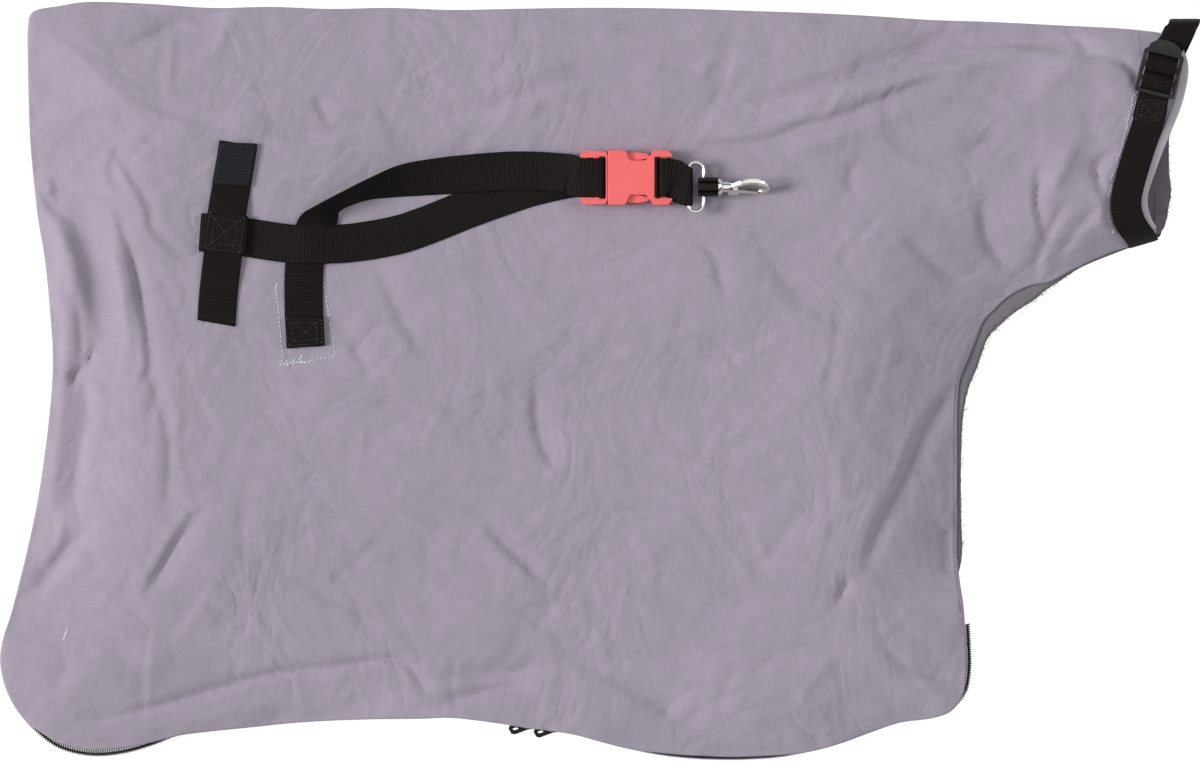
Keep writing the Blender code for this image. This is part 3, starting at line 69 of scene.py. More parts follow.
studio = bpy.data.worlds.new("studio")
studio.use_nodes = True
scene.world = studio
nodes, links = studio.node_tree.nodes, studio.node_tree.links
sky = nodes["Background"]
sky.inputs["Color"].default_value = (1, 1, 1, 1)
paths = nodes.new("ShaderNodeLightPath")
seen = nodes.new("ShaderNodeMath")
seen.operation = "MAXIMUM"
links.new(paths.outputs["Is Camera Ray"], seen.inputs[0])
links.new(paths.outputs["Is Glossy Ray"], seen.inputs[1])
way = nodes.new("ShaderNodeTexCoord")
parts = nodes.new("ShaderNodeSeparateXYZ")
links.new(way.outputs["Generated"], parts.inputs[0])
bands = nodes.new("ShaderNodeValToRGB")
for place, grey in ((0.22, 0.5), (0.42, 0.05), (0.68, 0.08), (0.84, 1.0), (1.0, 1.0)):
    stop = bands.color_ramp.elements.new(place)
    stop.color = (grey, grey, grey, 1)
bands.color_ramp.elements[0].color = (0.5, 0.5, 0.5, 1)
links.new(parts.outputs["Z"], bands.inputs["Fac"])
level = nodes.new("ShaderNodeMix")
level.inputs["A"].default_value = ROOM_LIGHT
links.new(seen.outputs[0], level.inputs["Factor"])
links.new(bands.outputs["Color"], level.inputs["B"])
links.new(level.outputs["Result"], sky.inputs["Strength"])

for name, place, power, width in (
    ("key", (-11.4, 0.4, 7.4), 1590, 4.4),
    ("fill", (4.8, 1.5, 4.0), 85, 3.5),
):
    lamp = bpy.data.objects.new(name, bpy.data.lights.new(name, "AREA"))
    lamp.data.energy = power
    lamp.data.size = width
    lamp.location = place
    lamp.rotation_euler = (-Vector(place)).to_track_quat("-Z", "Y").to_euler()
    scene.collection.objects.link(lamp)

bm = bmesh.new()
bmesh.ops.create_grid(bm, x_segments=2, y_segments=2, size=6)
floor = bpy.data.objects.new("floor", bpy.data.meshes.new("floor"))
bm.to_mesh(floor.data)
bm.free()
floor.location = (0, 0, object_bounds()[0][2])
scene.collection.objects.link(floor)
paper = bpy.data.materials.new("studio_paper")
paper.use_nodes = True
surface = paper.node_tree.nodes["Principled BSDF"]
surface.inputs["Base Color"].default_value = (0.20, 0.20, 0.20, 1)
surface.inputs["Roughness"].default_value = 1.0
surface.inputs["Specular IOR Level"].default_value = 0.0
surface.inputs["Emission Color"].default_value = (1, 1, 1, 1)
surface.inputs["Emission Strength"].default_value = 0.92
floor.data.materials.append(paper)

# Front panel: one sheet of plain woven cotton, sewn to the back all round and left open at
# the neck. It lies over the slack inside, so it swells between its seams, gathers along
# them, and still shows the deep folds that it was packed in.
PIXEL = 0.00065
MM = 0.001


def at(x, y):
    """A point of the picture, in metres on the ground."""
    return ((x - 600) * PIXEL, (382 - y) * PIXEL)


def curve_through(points, step, closed=False, axes=2):
    """Points every step along a smooth curve through the given ones, measured over the first axes."""
    points = np.asarray(points, float)
    if closed:
        ends = np.vstack([points[-1:], points, points[:2]])
    else:
        ends = np.vstack([2 * points[:1] - points[1:2], points, 2 * points[-1:] - points[-2:-1]])
    rows = []
    for a, b, c, d in zip(ends, ends[1:], ends[2:], ends[3:]):
        count = max(1, round(float(np.linalg.norm((c - b)[:axes])) / step))
        t = np.arange(count)[:, None] / count
        rows.append(
            0.5 * (2 * b + (c - a) * t + (2 * a - 5 * b + 4 * c - d) * t ** 2
                   + (3 * b - a - 3 * c + d) * t ** 3)
        )
    return np.vstack(rows if closed else rows + [points[-1:]])


def beside(spots, line, closed=False):
    """For each spot: how far it is from the line, on which side, and how far along, in metres."""
    line = np.vstack([line, line[:1]]) if closed else line
    gap = np.full(len(spots), 1e9)
    side, along = np.zeros(len(spots)), np.zeros(len(spots))
    reached = 0.0
    for a, b in zip(line, line[1:]):
        run = b - a
        length = max(float(np.hypot(*run)), 1e-9)
        t = np.clip((spots - a) @ run / length ** 2, 0, 1)
        off = spots - a - t[:, None] * run
        distance = np.hypot(off[:, 0], off[:, 1])
        near = distance < gap
        gap[near] = distance[near]
        side[near] = np.sign(run[0] * off[near, 1] - run[1] * off[near, 0])
        along[near] = reached + t[near] * length
        reached += length
    return gap, side, along


def marks_along(line):
    """How far along a line each of its points is."""
    return np.concatenate([[0], np.cumsum(np.hypot(*np.diff(line, axis=0).T))])


def ramp(value, low, high):
    """From 0 at low to 1 at high, eased at both ends."""
    t = np.clip((value - low) / (high - low), 0, 1)
    return t * t * (3 - 2 * t)


def within(spots, ring):
    """Which spots lie inside a ring."""
    hit = np.zeros(len(spots), bool)
    for a, b in zip(ring, np.roll(ring, -1, axis=0)):
        crosses = (a[1] > spots[:, 1]) != (b[1] > spots[:, 1])
        rise = b[1] - a[1] if abs(b[1] - a[1]) > 1e-12 else 1e-12
        hit ^= crosses & (spots[:, 0] < (b[0] - a[0]) * (spots[:, 1] - a[1]) / rise + a[0])
    return hit


SEAM_RIM = 2.1
FRONT_TOP = [(x, y, SEAM_RIM) for x, y in [
    (33, 12), (60, 6), (90, 2), (150, 4), (210, 8), (270, 7), (330, 9), (390, 8), (450, 10),
    (510, 9), (570, 8), (630, 8), (690, 9), (750, 11), (810, 13), (870, 16), (930, 20),
    (990, 22), (1050, 25), (1110, 28), (1145, 31),
]]
FRONT_MOUTH = [
    (1168, 36, 4), (1180, 52, 12), (1184, 72, 19), (1178, 102, 22), (1168, 128, 23),
    (1160, 147, 23), (1151, 171, 22), (1144, 193, 19), (1144, 208, 15), (1149, 222, 9),
    (1156, 232, 4),
]
FRONT_NOTCH = [(x, y, SEAM_RIM) for x, y in [
    (1141, 241), (1126, 247.5), (1108, 253.5), (1080, 266), (1052, 281), (1030, 286),
    (1008, 297), (994, 310), (983, 322), (975, 342), (966, 364), (959, 384), (957, 420),
    (957, 470), (957, 520), (957, 555),
]]
FRONT_ZIP = [
    (960, 585, 9), (963, 606, 13), (965.5, 645, 13), (965.5, 672, 13), (962, 695, 13),
    (950, 711, 13), (930, 718, 13), (900, 722, 13), (870, 732, 13), (840, 743, 13),
    (810, 751, 13), (780, 754.5, 13), (735, 756.3, 13), (690, 754.8, 13), (660, 752.3, 13),
    (630, 748.5, 15.5), (600, 741, 19), (575, 734, 21), (545, 729, 21),
    (515, 725, 21), (480, 720, 21), (450, 717, 21), (420, 718, 19), (360, 719, 14.5),
    (300, 722, 13), (240, 728, 13), (210, 731, 13), (180, 735, 13), (150, 742.5, 13),
    (130, 746.6, 13), (108, 748.8, 13), (85, 748.4, 13), (60, 741.8, 13), (35, 727.4, 13),
    (18, 710, 13), (6, 686, 13), (1, 660, 13),
]
FRONT_LEFT = [(4, 638, 12), (12, 612, 7)] + [(x, y, SEAM_RIM) for x, y in [
    (25, 560), (36, 510), (44, 460), (50, 410), (53, 360), (50, 310), (45, 260), (37, 210),
    (31, 150), (29, 110), (28, 60), (28, 30),
]]
FRONT_EDGE = FRONT_TOP + FRONT_MOUTH + FRONT_NOTCH + FRONT_ZIP + FRONT_LEFT
FRONT_PITCH = 2.8 * MM
LOFT = 24 * MM
LOOSE = 0.7
EDGE_ROLL = 62 * MM
NECK_ROLL = 18 * MM
GATHER = 0.9 * MM
LOWEST = 2 * MM
# where the webbing lies, the cloth is held flat
HELD_FLAT = [
    [(239.5, 150), (232, 191), (224, 255), (217.5, 320)],
    [(212, 233), (305, 245), (400, 235), (464, 211), (555, 182), (628, 178.5), (700, 188), (765, 188)],
    [(570, 174.5), (480, 173.5), (400, 182), (340, 203), (310, 245), (305, 285), (306, 340)],
]
# the neck strap's run over the cloth, and how high the cloth may stand under it
NECK_PRESS = curve_through([
    (0.3785, 0.2330, 0.0262), (0.3730, 0.2240, 0.0268), (0.3640, 0.2060, 0.0268), (0.3577, 0.1820, 0.0262),
    (0.3546, 0.1694, 0.0258), (0.3543, 0.1657, 0.0258), (0.3500, 0.1528, 0.0253), (0.3458, 0.1391, 0.0248),
    (0.3422, 0.1255, 0.0234), (0.3409, 0.1150, 0.0208), (0.3429, 0.1055, 0.0186), (0.3462, 0.0995, 0.0166),
    (0.3504, 0.0942, 0.0108), (0.3526, 0.0910, 0.0052), (0.3531, 0.0890, 0.0028),
], 3 * MM)
# folds: picture points, height and width in millimetres, and how far it is a step, not a ridge
FOLDS = [
    ([(760, 104), (800, 92), (851, 79), (915, 67), (966, 57), (1009, 46), (1055, 50), (1088, 56),
      (1119, 62.5), (1132, 74), (1134, 85)], -7.5, 3.6, 0.45),
    ([(800, 108), (860, 92), (930, 77), (1009, 60), (1060, 64), (1110, 76)], 4.5, 9, 0),
    ([(860, 64), (930, 47), (990, 34), (1050, 38), (1100, 46)], -6, 8, 0),
    ([(640, 150), (706, 147), (757, 142), (800, 128), (826, 121), (876, 102), (945, 74)], -5, 5, -0.4),
    ([(640, 168), (700, 164), (760, 158), (820, 140), (880, 118), (950, 96)], 3, 12, 0),
    ([(451, 115), (497, 107), (553, 87), (600, 75), (668, 68), (693, 66)], -4.5, 5, 0.4),
    ([(153, 107), (191, 119), (230, 126), (281, 134), (319, 136), (357, 126)], -3.5, 5, 0.3),
    ([(130, 46), (166, 31), (194, 18), (222, 12)], -5, 6, 0.2),
    ([(117, 153), (128, 172), (140, 190), (150, 212), (151, 226), (160, 238), (179, 255),
      (201, 281)], -2.8, 3.4, 0.45),
    ([(117, 153), (111, 168), (114, 182), (126, 190)], -2.5, 3, 0.3),
    ([(41, 194), (53, 208), (62, 216)], -4, 3.5, 0.3),
    ([(60, 205), (72, 232), (82, 255), (88, 280), (90, 305), (92, 330), (90, 345)], -8, 9, 0.8),
    ([(60, 225), (66, 250), (72, 275), (74, 292)], 3, 7, 0.4),
    ([(76, 296), (79, 318), (81, 340), (83, 366)], -3.4, 3.8, 0.2),
    ([(83, 366), (75, 376), (72, 384)], -5, 3.5, 0),
    ([(83, 366), (86, 392), (88, 415), (82, 440), (78, 470), (76, 497), (82, 520)], -5, 6, -0.3),
    ([(56, 240), (60, 290), (64, 340), (62, 380), (58, 430), (52, 500)], 3, 7, 0),
    ([(104, 352), (96, 345), (91, 352), (88, 362)], -2.5, 3, 0),
    ([(118, 215), (124, 236), (132, 258), (139, 290), (144, 318), (148, 345), (150, 368),
      (142, 382)], -3.6, 2.9, 0.5),
    ([(128, 250), (138, 285), (142, 315)], -3, 7, 0.2),
    ([(112, 240), (120, 275), (126, 310), (130, 345)], 4, 7, 0),
    ([(150, 368), (156, 392), (150, 420)], -2.5, 5, 0.2),
    ([(84, 535), (70, 548), (56, 565), (38, 588)], -8, 7, -0.3),
    ([(64, 520), (58, 545), (40, 566)], 3, 8, 0),
    ([(196, 515), (179, 538), (163, 566), (150, 586)], -5, 4, 0.4),
    ([(70, 660), (120, 672), (175, 662)], 2.5, 22, 0),
    ([(87, 721), (128, 714), (179, 701), (230, 686), (281, 673), (332, 668), (400, 661),
      (425, 691)], -4.6, 3, 0.25),
    ([(120, 738), (190, 722), (260, 706), (330, 700)], 1.6, 9, 0),
    ([(438, 706), (489, 691), (528, 686)], -5, 4.5, 0.3),
    ([(440, 678), (502, 673), (553, 667)], -4.5, 4.5, 0.3),
    ([(560, 650), (600, 672), (650, 700), (680, 722)], -2.6, 7, 0.5),
    ([(535, 382), (538, 433), (553, 466)], -3, 5, 0.3),
    ([(489, 530), (510, 550), (543, 581)], -3.6, 4, 0.4),
    ([(956, 382), (933, 413), (920, 433), (907, 466), (894, 492), (877, 527), (864, 561)], -5.5, 5, 0.4),
    ([(848, 578), (838, 601)], -3.5, 4, 0),
    ([(946, 525), (950, 550), (951, 572)], -4.5, 5, 0),
    ([(700, 700), (760, 715), (840, 700)], 4, 25, 0),
    ([(1037, 172), (1035, 204), (1042, 236)], -4, 3, 0.3),
    ([(1064, 208), (1048, 235), (1039, 255), (1036, 280)], -3.8, 3, -0.3),
    ([(1098, 210), (1078, 230), (1058, 258)], -3.5, 3.2, -0.3),
    ([(1111, 153), (1094, 166), (1097, 180), (1104, 199)], -3.5, 3, 0),
    ([(1052, 190), (1060, 170), (1072, 150)], 3.5, 8, 0),
    ([(859, 161), (848, 179), (854, 194)], -1.8, 4, 0),
    ([(963, 153), (999, 138)], -1.8, 6, 0),
    ([(1065, 27), (1075, 38), (1088, 55)], -4, 4, 0.3),
    ([(316, 100), (329, 124)], -2.5, 3.5, 0.3),
    ([(372, 250), (392, 300), (420, 352)], -2, 5, 0.4),
    ([(331, 318), (352, 345), (360, 362)], -2.4, 4, 0.4),
    ([(160, 395), (170, 440), (168, 500)], -2.4, 5, 0.3),
    ([(700, 240), (716, 262), (722, 292)], -2, 4.5, 0.3),
    ([(760, 250), (800, 300), (846, 330)], -2, 7, 0.4),
    ([(905, 235), (930, 262), (960, 280)], -3, 7, 0.2),
    ([(980, 200), (985, 240), (1010, 270)], -3.5, 6, 0.3),
    ([(640, 590), (700, 610), (770, 605)], -2.4, 9, 0.3),
    ([(300, 580), (360, 610), (450, 620)], -2.4, 8, 0.3),
    ([(600, 660), (680, 655), (760, 664), (820, 655)], -3, 8, 0.3),
    ([(880, 640), (905, 665), (950, 680)], -3.5, 7, 0.2),
]
edge = curve_through([(*at(x, y), rim * MM) for x, y, rim in FRONT_EDGE], FRONT_PITCH, closed=True)
chance = np.random.default_rng(7)


def inset(ring, distance):
    """A clockwise ring moved inwards."""
    along = np.roll(ring, -1, axis=0) - np.roll(ring, 1, axis=0)
    along /= np.maximum(np.hypot(along[:, 0], along[:, 1]), 1e-9)[:, None]
    return ring + np.column_stack([along[:, 1], -along[:, 0]]) * distance


def cut_sheet(ring, pitch, rings):
    """A flat sheet inside the ring: rows beside its edge, then an even grid."""
    spots = [ring]
    for distance in rings:
        row = inset(ring, distance)
        spots.append(row[within(row, ring) & (beside(row, ring, closed=True)[0] > distance * 0.85)])
    low, high = ring.min(axis=0), ring.max(axis=0)
    across = np.arange(low[0], high[0], pitch)
    up = np.arange(low[1], high[1], pitch * math.sqrt(3) / 2)
    grid = np.array([(x + (j % 2) * pitch / 2, y) for j, y in enumerate(up) for x in across])
    clear = rings[-1] + pitch * 0.6
    grid = grid[within(grid, ring)]
    spots.append(grid[beside(grid, ring, closed=True)[0] > clear])
    count = len(ring)
    flat, _, faces, *_ = delaunay_2d_cdt(
        [Vector(p) for p in np.vstack(spots)], [(i, (i + 1) % count) for i in range(count)], [], 1, 1e-6
    )
    bm = bmesh.new()
    corners = [bm.verts.new((p.x, p.y, 0)) for p in flat]
    for face in faces:
        bm.faces.new([corners[i] for i in face])
    bmesh.ops.recalc_face_normals(bm, faces=bm.faces)
    if sum(face.normal.z for face in bm.faces) < 0:
        bmesh.ops.reverse_faces(bm, faces=bm.faces)
    return bm


def neck_lift(x):
    """The strap under the neck lifts both sheets a little."""
    return 1.8 * MM * ramp(x, at(1085, 0)[0], at(1112, 0)[0])


def small_creases(count, low, high):
    """Short creases at chance places: line, height, width and step, as in the list of folds."""
    made = []
    for _ in range(count):
        x, y = chance.uniform(20, 1150), chance.uniform(20, 740)
        turn = chance.normal(0.6 if x > 300 else 1.4, 0.7)
        length = chance.uniform(25, 95)
        bend = chance.normal(0, 0.35)
        points = []
        for s in (0, 0.5, 1):
            reach, lean = length * (s - 0.5), turn + bend * s
            points.append((x + reach * math.cos(lean), y - reach * math.sin(lean)))
        height = chance.uniform(low, high) * chance.choice((-1, -1, 1))
        made.append((points, height, chance.uniform(2.2, 5), chance.uniform(-0.7, 0.7)))
    return made


SMALL_CREASES = small_creases(260, 0.3, 1.0)


def fold_rise(spots):
    """How far the folds lift or press each spot."""
    rise = np.zeros(len(spots))
    for line, height, width, step in FOLDS + SMALL_CREASES:
        path = curve_through([at(*p) for p in line], 8 * MM)
        reach = 4 * width * MM
        low, high = path.min(axis=0) - reach, path.max(axis=0) + reach
        near = np.all((spots > low) & (spots < high), axis=1)
        if not near.any():
            continue
        distance, hand, run = beside(spots[near], path)
        total = marks_along(path)[-1]
        taper = np.clip(np.minimum(run, total - run) / (0.25 * total), 0, 1) ** 0.7
        s = distance * hand / (width * MM)
        ridge = np.exp(0.3 - 1.5 * np.sqrt(s * s + 0.04))
        slope = s * np.exp(-s * s * 0.5)
        fade = (0.35 + 0.65 * taper) * np.exp(-np.maximum(0, np.abs(s) - 2.5))
        rise[near] += 1.2 * height * MM * ((1 - abs(step)) * ridge + step * slope) * fade
    return rise


def cloth_height(spots):
    """Height of the front panel's outer face over each spot."""
    gap, _, along = beside(spots, edge[:, :2], closed=True)
    ring = np.vstack([edge, edge[:1]])
    rim = np.interp(along, marks_along(ring[:, :2]), ring[:, 2])
    roll = EDGE_ROLL - (EDGE_ROLL - NECK_ROLL) * ramp(spots[:, 0], at(985, 0)[0], at(1090, 0)[0])
    share = gap / roll
    swell = np.where(share < LOOSE, share, share - (share - LOOSE) ** 2 / (4 - 4 * LOOSE))
    swell = np.where(share > 2 - LOOSE, 1, swell)
    strap = np.full(len(spots), 1e9)
    for line in HELD_FLAT:
        strap = np.minimum(strap, beside(spots, np.array([at(*p) for p in line]))[0])
    free = ramp(strap, 15 * MM, 40 * MM)
    gather = (
        np.sin(along / (9.5 * MM)) * 0.55 + np.sin(along / (5.3 * MM) + 1.7) * 0.3
        + np.sin(along / (23 * MM) + 0.6) * 0.9
    )
    seam = GATHER * gather * np.exp(-gap / (16 * MM)) * np.minimum(gap / (3 * MM), 1)
    swells = 0.6 * MM * (
        np.sin(spots[:, 0] * 31 + np.sin(spots[:, 1] * 22) * 1.6) * np.sin(spots[:, 1] * 27 + 1.1)
        + 0.6 * np.sin(spots[:, 0] * 63 - spots[:, 1] * 41)
    )
    folds = (fold_rise(spots) + swells * 0.8) * np.minimum(gap / (10 * MM), 1)
    folds = np.where(free < 1, np.minimum(folds * free, folds), folds)
    folds = folds * (0.25 + 0.75 * free)
    folds = np.where(strap < 20 * MM, np.minimum(folds, 0), folds)
    height = neck_lift(spots[:, 0]) + np.maximum(rim + (LOFT - rim) * swell + folds + seam, LOWEST)
    off, _, run = beside(spots, NECK_PRESS[:, :2])
    ceiling = np.interp(run, marks_along(NECK_PRESS[:, :2]), NECK_PRESS[:, 2])
    ceiling = ceiling + 1.1 * np.maximum(0, off - 11.5 * MM)
    return np.where(off < 30 * MM, np.minimum(height, ceiling), height)


class Tone:
    """A socket of a finish, so that a pattern is written as a sum."""

    def __init__(self, tree, socket=None):
        self.tree, self.socket = tree, socket

    def node(self, kind, settings=None, output=0, **inputs):
        """A node with its settings and sockets, by name or by number as i0."""
        made = self.tree.nodes.new(kind)
        for name, value in (settings or {}).items():
            setattr(made, name, value)
        for name, value in inputs.items():
            socket = made.inputs[int(name[1:])] if name[1:].isdigit() else made.inputs[name.replace("_", " ")]
            if isinstance(value, Tone):
                self.tree.links.new(value.socket, socket)
            else:
                socket.default_value = value
        return Tone(self.tree, made.outputs[output])

    def maths(self, operation, first, second=0.0):
        return self.node("ShaderNodeMath", {"operation": operation}, i0=first, i1=second)

    def place(self):
        """Where a point of the object is."""
        return self.node("ShaderNodeTexCoord", output=3)

    def noise(self, scale, detail, **more):
        """Soft chance clouds at this place."""
        return self.node("ShaderNodeTexNoise", Vector=self, Scale=scale, Detail=detail, **more)

    def ribs(self, measure, pitch):
        """Even ribs along a measure that the band's points carry."""
        along = self.node("ShaderNodeAttribute", {"attribute_name": measure}, output=2)
        return self.maths("SINE", along * (math.tau / pitch)) * 0.5 + 0.5

    def mix(self, share, low, high):
        """A colour between two."""
        return self.node(
            "ShaderNodeMix", {"data_type": "RGBA", "clamp_factor": True}, output=2,
            Factor=share, i6=low, i7=high,
        )

    def bump(self, distance, strength, **more):
        """The relief of a surface whose height this is."""
        return self.node("ShaderNodeBump", Height=self, Distance=distance, Strength=strength, **more)

    def __add__(self, other):
        return self.maths("ADD", self, other)

    __radd__ = __add__

    def __sub__(self, other):
        return self.maths("SUBTRACT", self, other)

    def __rsub__(self, other):
        return self.maths("SUBTRACT", other, self)

    def __mul__(self, other):
        return self.maths("MULTIPLY", self, other)

    __rmul__ = __mul__


def finish(name, pattern, **constants):
    """A material whose varying sockets come from pattern, and whose constants are set directly."""
    material = bpy.data.materials.new(name)
    material.use_nodes = True
    tree = material.node_tree
    shader = tree.nodes["Principled BSDF"]
    for socket, value in constants.items():
        shader.inputs[socket.replace("_", " ")].default_value = value
    for socket, tone in pattern(Tone(tree)).items():
        tree.links.new(tone.socket, shader.inputs[socket])
    return material


def cotton(start):
    """Violet grey yarn, a shade lighter and darker thread by thread, with faint wear."""
    place = start.place()
    warp = start.node("ShaderNodeMapping", Vector=place, Scale=(2400, 90, 90)).noise(1.0, 1.0)
    weft = start.node("ShaderNodeMapping", Vector=place, Scale=(90, 2400, 90)).noise(1.0, 1.0)
    yarn = (warp + weft) * 0.5
    cloud = place.noise(14.0, 5.0, Roughness=0.62)
    soil = place.noise(55.0, 4.0, Roughness=0.7)
    shade = (yarn - 0.5) * 0.75 + (cloud - 0.5) * 0.5 + (soil - 0.5) * 0.22 + 0.5
    colour = start.mix(shade, (0.264, 0.228, 0.286, 1), (0.456, 0.396, 0.489, 1))
    rumple = place.noise(42.0, 6.0, Roughness=0.6, Distortion=0.6)
    crease = place.noise(11.0, 3.0, Roughness=0.55, Distortion=1.3)
    crumple = rumple * 0.5 + start.maths("ABSOLUTE", crease - 0.5) * 2.2
    weave = yarn.bump(0.0002, 0.35)
    return {"Base Color": colour, "Normal": crumple.bump(0.0032, 0.75, Normal=weave)}


grey_cotton = finish("grey_cotton_weave", cotton, Roughness=0.92, Sheen_Weight=0.12, Sheen_Roughness=0.5)


def piece(name, bm, material, body, slot, *nodes):
    """An object from a finished bmesh, riding its body and standing for its CAD nodes."""
    thing = bpy.data.objects.new(name, bpy.data.meshes.new(name))
    bm.to_mesh(thing.data)
    bm.free()
    scene.collection.objects.link(thing)
    thing.data.shade_smooth()
    thing.data.materials.append(material)
    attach(thing, body)
    if nodes:
        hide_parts(*nodes)
    return thing


def raise_to(bm, heights):
    """Each point of a flat sheet lifted to its height."""
    spots = np.array([v.co[:2] for v in bm.verts])
    for v, z in zip(bm.verts, heights(spots)):
        v.co.z = z


CLOTH = 0.9 * MM
bm = cut_sheet(edge[:, :2], FRONT_PITCH, (1.3 * MM, 3.3 * MM, 5.8 * MM))
raise_to(bm, cloth_height)
front = piece("front_cloth", bm, grey_cotton, "bag", "grey_cotton", "front_panel")
wall = front.modifiers.new("cloth", "SOLIDIFY")
wall.thickness = CLOTH
wall.offset = -1

# Back panel: the under sheet of the same cotton, flat on the ground. It is cut longer than
# the front at the mouth, so its inner face shows there, and stands out along the notch.
BACK_MOUTH = [
    (1165, 38), (1175, 60), (1175, 90), (1172, 112), (1169, 132), (1169, 170),
    (1171, 190), (1168, 210), (1164, 228), (1155, 237), (1140, 243.5), (1125, 249.5), (1108, 256),
    (1080, 268), (1057, 283), (1046, 290), (1034, 300), (1014, 313), (1000, 325),
    (989, 336), (983, 350), (977, 368), (968, 390), (963, 418), (961, 460), (961, 510),
    (962, 555),
]
outline = np.array([at(x, y) for x, y, _ in FRONT_EDGE])
seam_ring = inset(outline, 0.6 * MM)
zip_ring = inset(outline, 2.6 * MM)
first = len(FRONT_TOP)
zipped = first + len(FRONT_MOUTH) + len(FRONT_NOTCH)
back_ring = np.vstack([
    seam_ring[:first], [at(*p) for p in BACK_MOUTH], zip_ring[zipped:zipped + len(FRONT_ZIP)],
    seam_ring[zipped + len(FRONT_ZIP):],
])
back_edge = curve_through(back_ring, 4 * MM, closed=True)


def back_height(spots):
    """Height of the back panel's inner face; its free edge at the notch ripples."""
    gap, _, along = beside(spots, back_edge, closed=True)
    loose = ramp(spots[:, 0], at(940, 0)[0], at(980, 0)[0])
    ripple = np.sin(along / (11 * MM)) * np.exp(-gap / (8 * MM)) * loose
    return CLOTH + neck_lift(spots[:, 0]) + 0.35 * MM * (1 + ripple) * ramp(gap, 0, 3 * MM) * 0.5


def tinted_cotton(share, tint):
    """The same cotton mixed towards a tint: darker on the back panel's upper face as painted shade, paler on
    the mouth hem.
    """
    def pattern(start):
        found = cotton(start)
        return {**found, "Base Color": start.mix(share, found["Base Color"], tint)}
    return pattern


# The back panel's upper face is mixed towards dark grey: painted shade, for the shade this strip lies in
# beside the front panel.
painted_shade_inner_cotton = finish("grey_cotton_inner_painted_shade", tinted_cotton(0.72, (0.125, 0.118, 0.125, 1)), Roughness=0.95)
bm = cut_sheet(back_edge, 9 * MM, (2.5 * MM, 6 * MM))
raise_to(bm, back_height)
back = piece("back_cloth", bm, painted_shade_inner_cotton, "bag", "grey_cotton", "back_panel")
back.data.materials.append(grey_cotton)
wall = back.modifiers.new("cloth", "SOLIDIFY")
wall.material_offset = 1
wall.thickness = CLOTH
wall.offset = -1

# Webbing: flat woven polypropylene band, 25 mm wide on the straps and 20 mm at the neck,
# with fine ribs across it and rounded edges. Each band is one length, carried through its
# folds from end to end. The patch at the hanging band's top is smooth black tape.
def squared(value, power):
    """A circle's coordinate pushed outwards, so that the circle becomes a rounded oblong."""
    return math.copysign(abs(value) ** power, value) if abs(value) > 1e-6 else 0


def band(name, stations, width, thick, body, nodes, slot="black_webbing", material=None, square=True):
    """A band through (x, y, z, across x, across y, across z) stations, in millimetres."""
    rows = np.array(stations, float)
    fine = curve_through(rows, STATION_STEP, axes=3)
    bm = bmesh.new()
    run_layer = bm.verts.layers.float.new("run")
    side_layer = bm.verts.layers.float.new("side")
    made = bmesh.ops.create_circle(bm, segments=16, radius=1)["verts"]
    for v in made:
        v.co.x, v.co.y = squared(v.co.x, 0.35), squared(v.co.y, 0.6)
        v[side_layer] = v.co.x * width / 2
    last = Matrix.Identity(4)
    run = 0.0
    loop_edges = list(bm.edges)
    for i, row in enumerate(fine):
        centre = Vector(row[:3]) * MM
        ahead, behind = fine[min(i + 1, len(fine) - 1)], fine[max(i - 1, 0)]
        along = Vector(ahead[:3] - behind[:3]).normalized()
        across = Vector(row[3:6])
        if square:
            across -= along * across.dot(along)
        across.normalize()
        up = along.cross(across).normalized()
        here = Matrix((across * width / 2, up * thick / 2, along)).transposed().to_4x4()
        here.translation = centre
        if i:
            run += (centre - Vector(fine[i - 1][:3]) * MM).length
            grown = bmesh.ops.extrude_edge_only(bm, edges=loop_edges)["geom"]
            made = [g for g in grown if isinstance(g, bmesh.types.BMVert)]
            loop_edges = [
                g for g in grown if isinstance(g, bmesh.types.BMEdge) and all(v in made for v in g.verts)
            ]
        bmesh.ops.transform(bm, matrix=here @ last.inverted(), verts=made)
        for v in made:
            v[run_layer] = run
        last = here
    rims = [e for e in bm.edges if e.is_boundary]
    bmesh.ops.holes_fill(bm, edges=rims, sides=20)
    bmesh.ops.recalc_face_normals(bm, faces=bm.faces)
    return piece(name, bm, material or webbing, body, slot, *nodes)


def ribbed(start):
    """Black yarn whose ribs run across the band, with a painted highlight on the rib crests."""
    rib, yarn = start.ribs("run", 0.0019), start.ribs("side", 0.0009)
    place = start.place()
    cloud = place.noise(160.0, 3.0)
    dust = place.noise(30.0, 4.0)
    height = rib * 0.8 + yarn * 0.2
    # The colour is lighter on the rib crests: a painted highlight, with random cloud and dust tone over it.
    shade = height * 0.7 + cloud * 0.3 + dust * 0.25
    colour = start.mix(shade * 0.9, (0.0018, 0.0014, 0.0013, 1), (0.0165, 0.0125, 0.0115, 1))
    gloss = 0.72 - rib * 0.1 + cloud * 0.1
    return {"Base Color": colour, "Normal": height.bump(0.0005, 0.8), "Roughness": gloss}


webbing = finish("ribbed_black_webbing", ribbed, Specular_IOR_Level=0.12)
STATION_STEP = 2.5
STRAP_WIDTH = 25 * MM
STRAP_THICK = 1.3 * MM

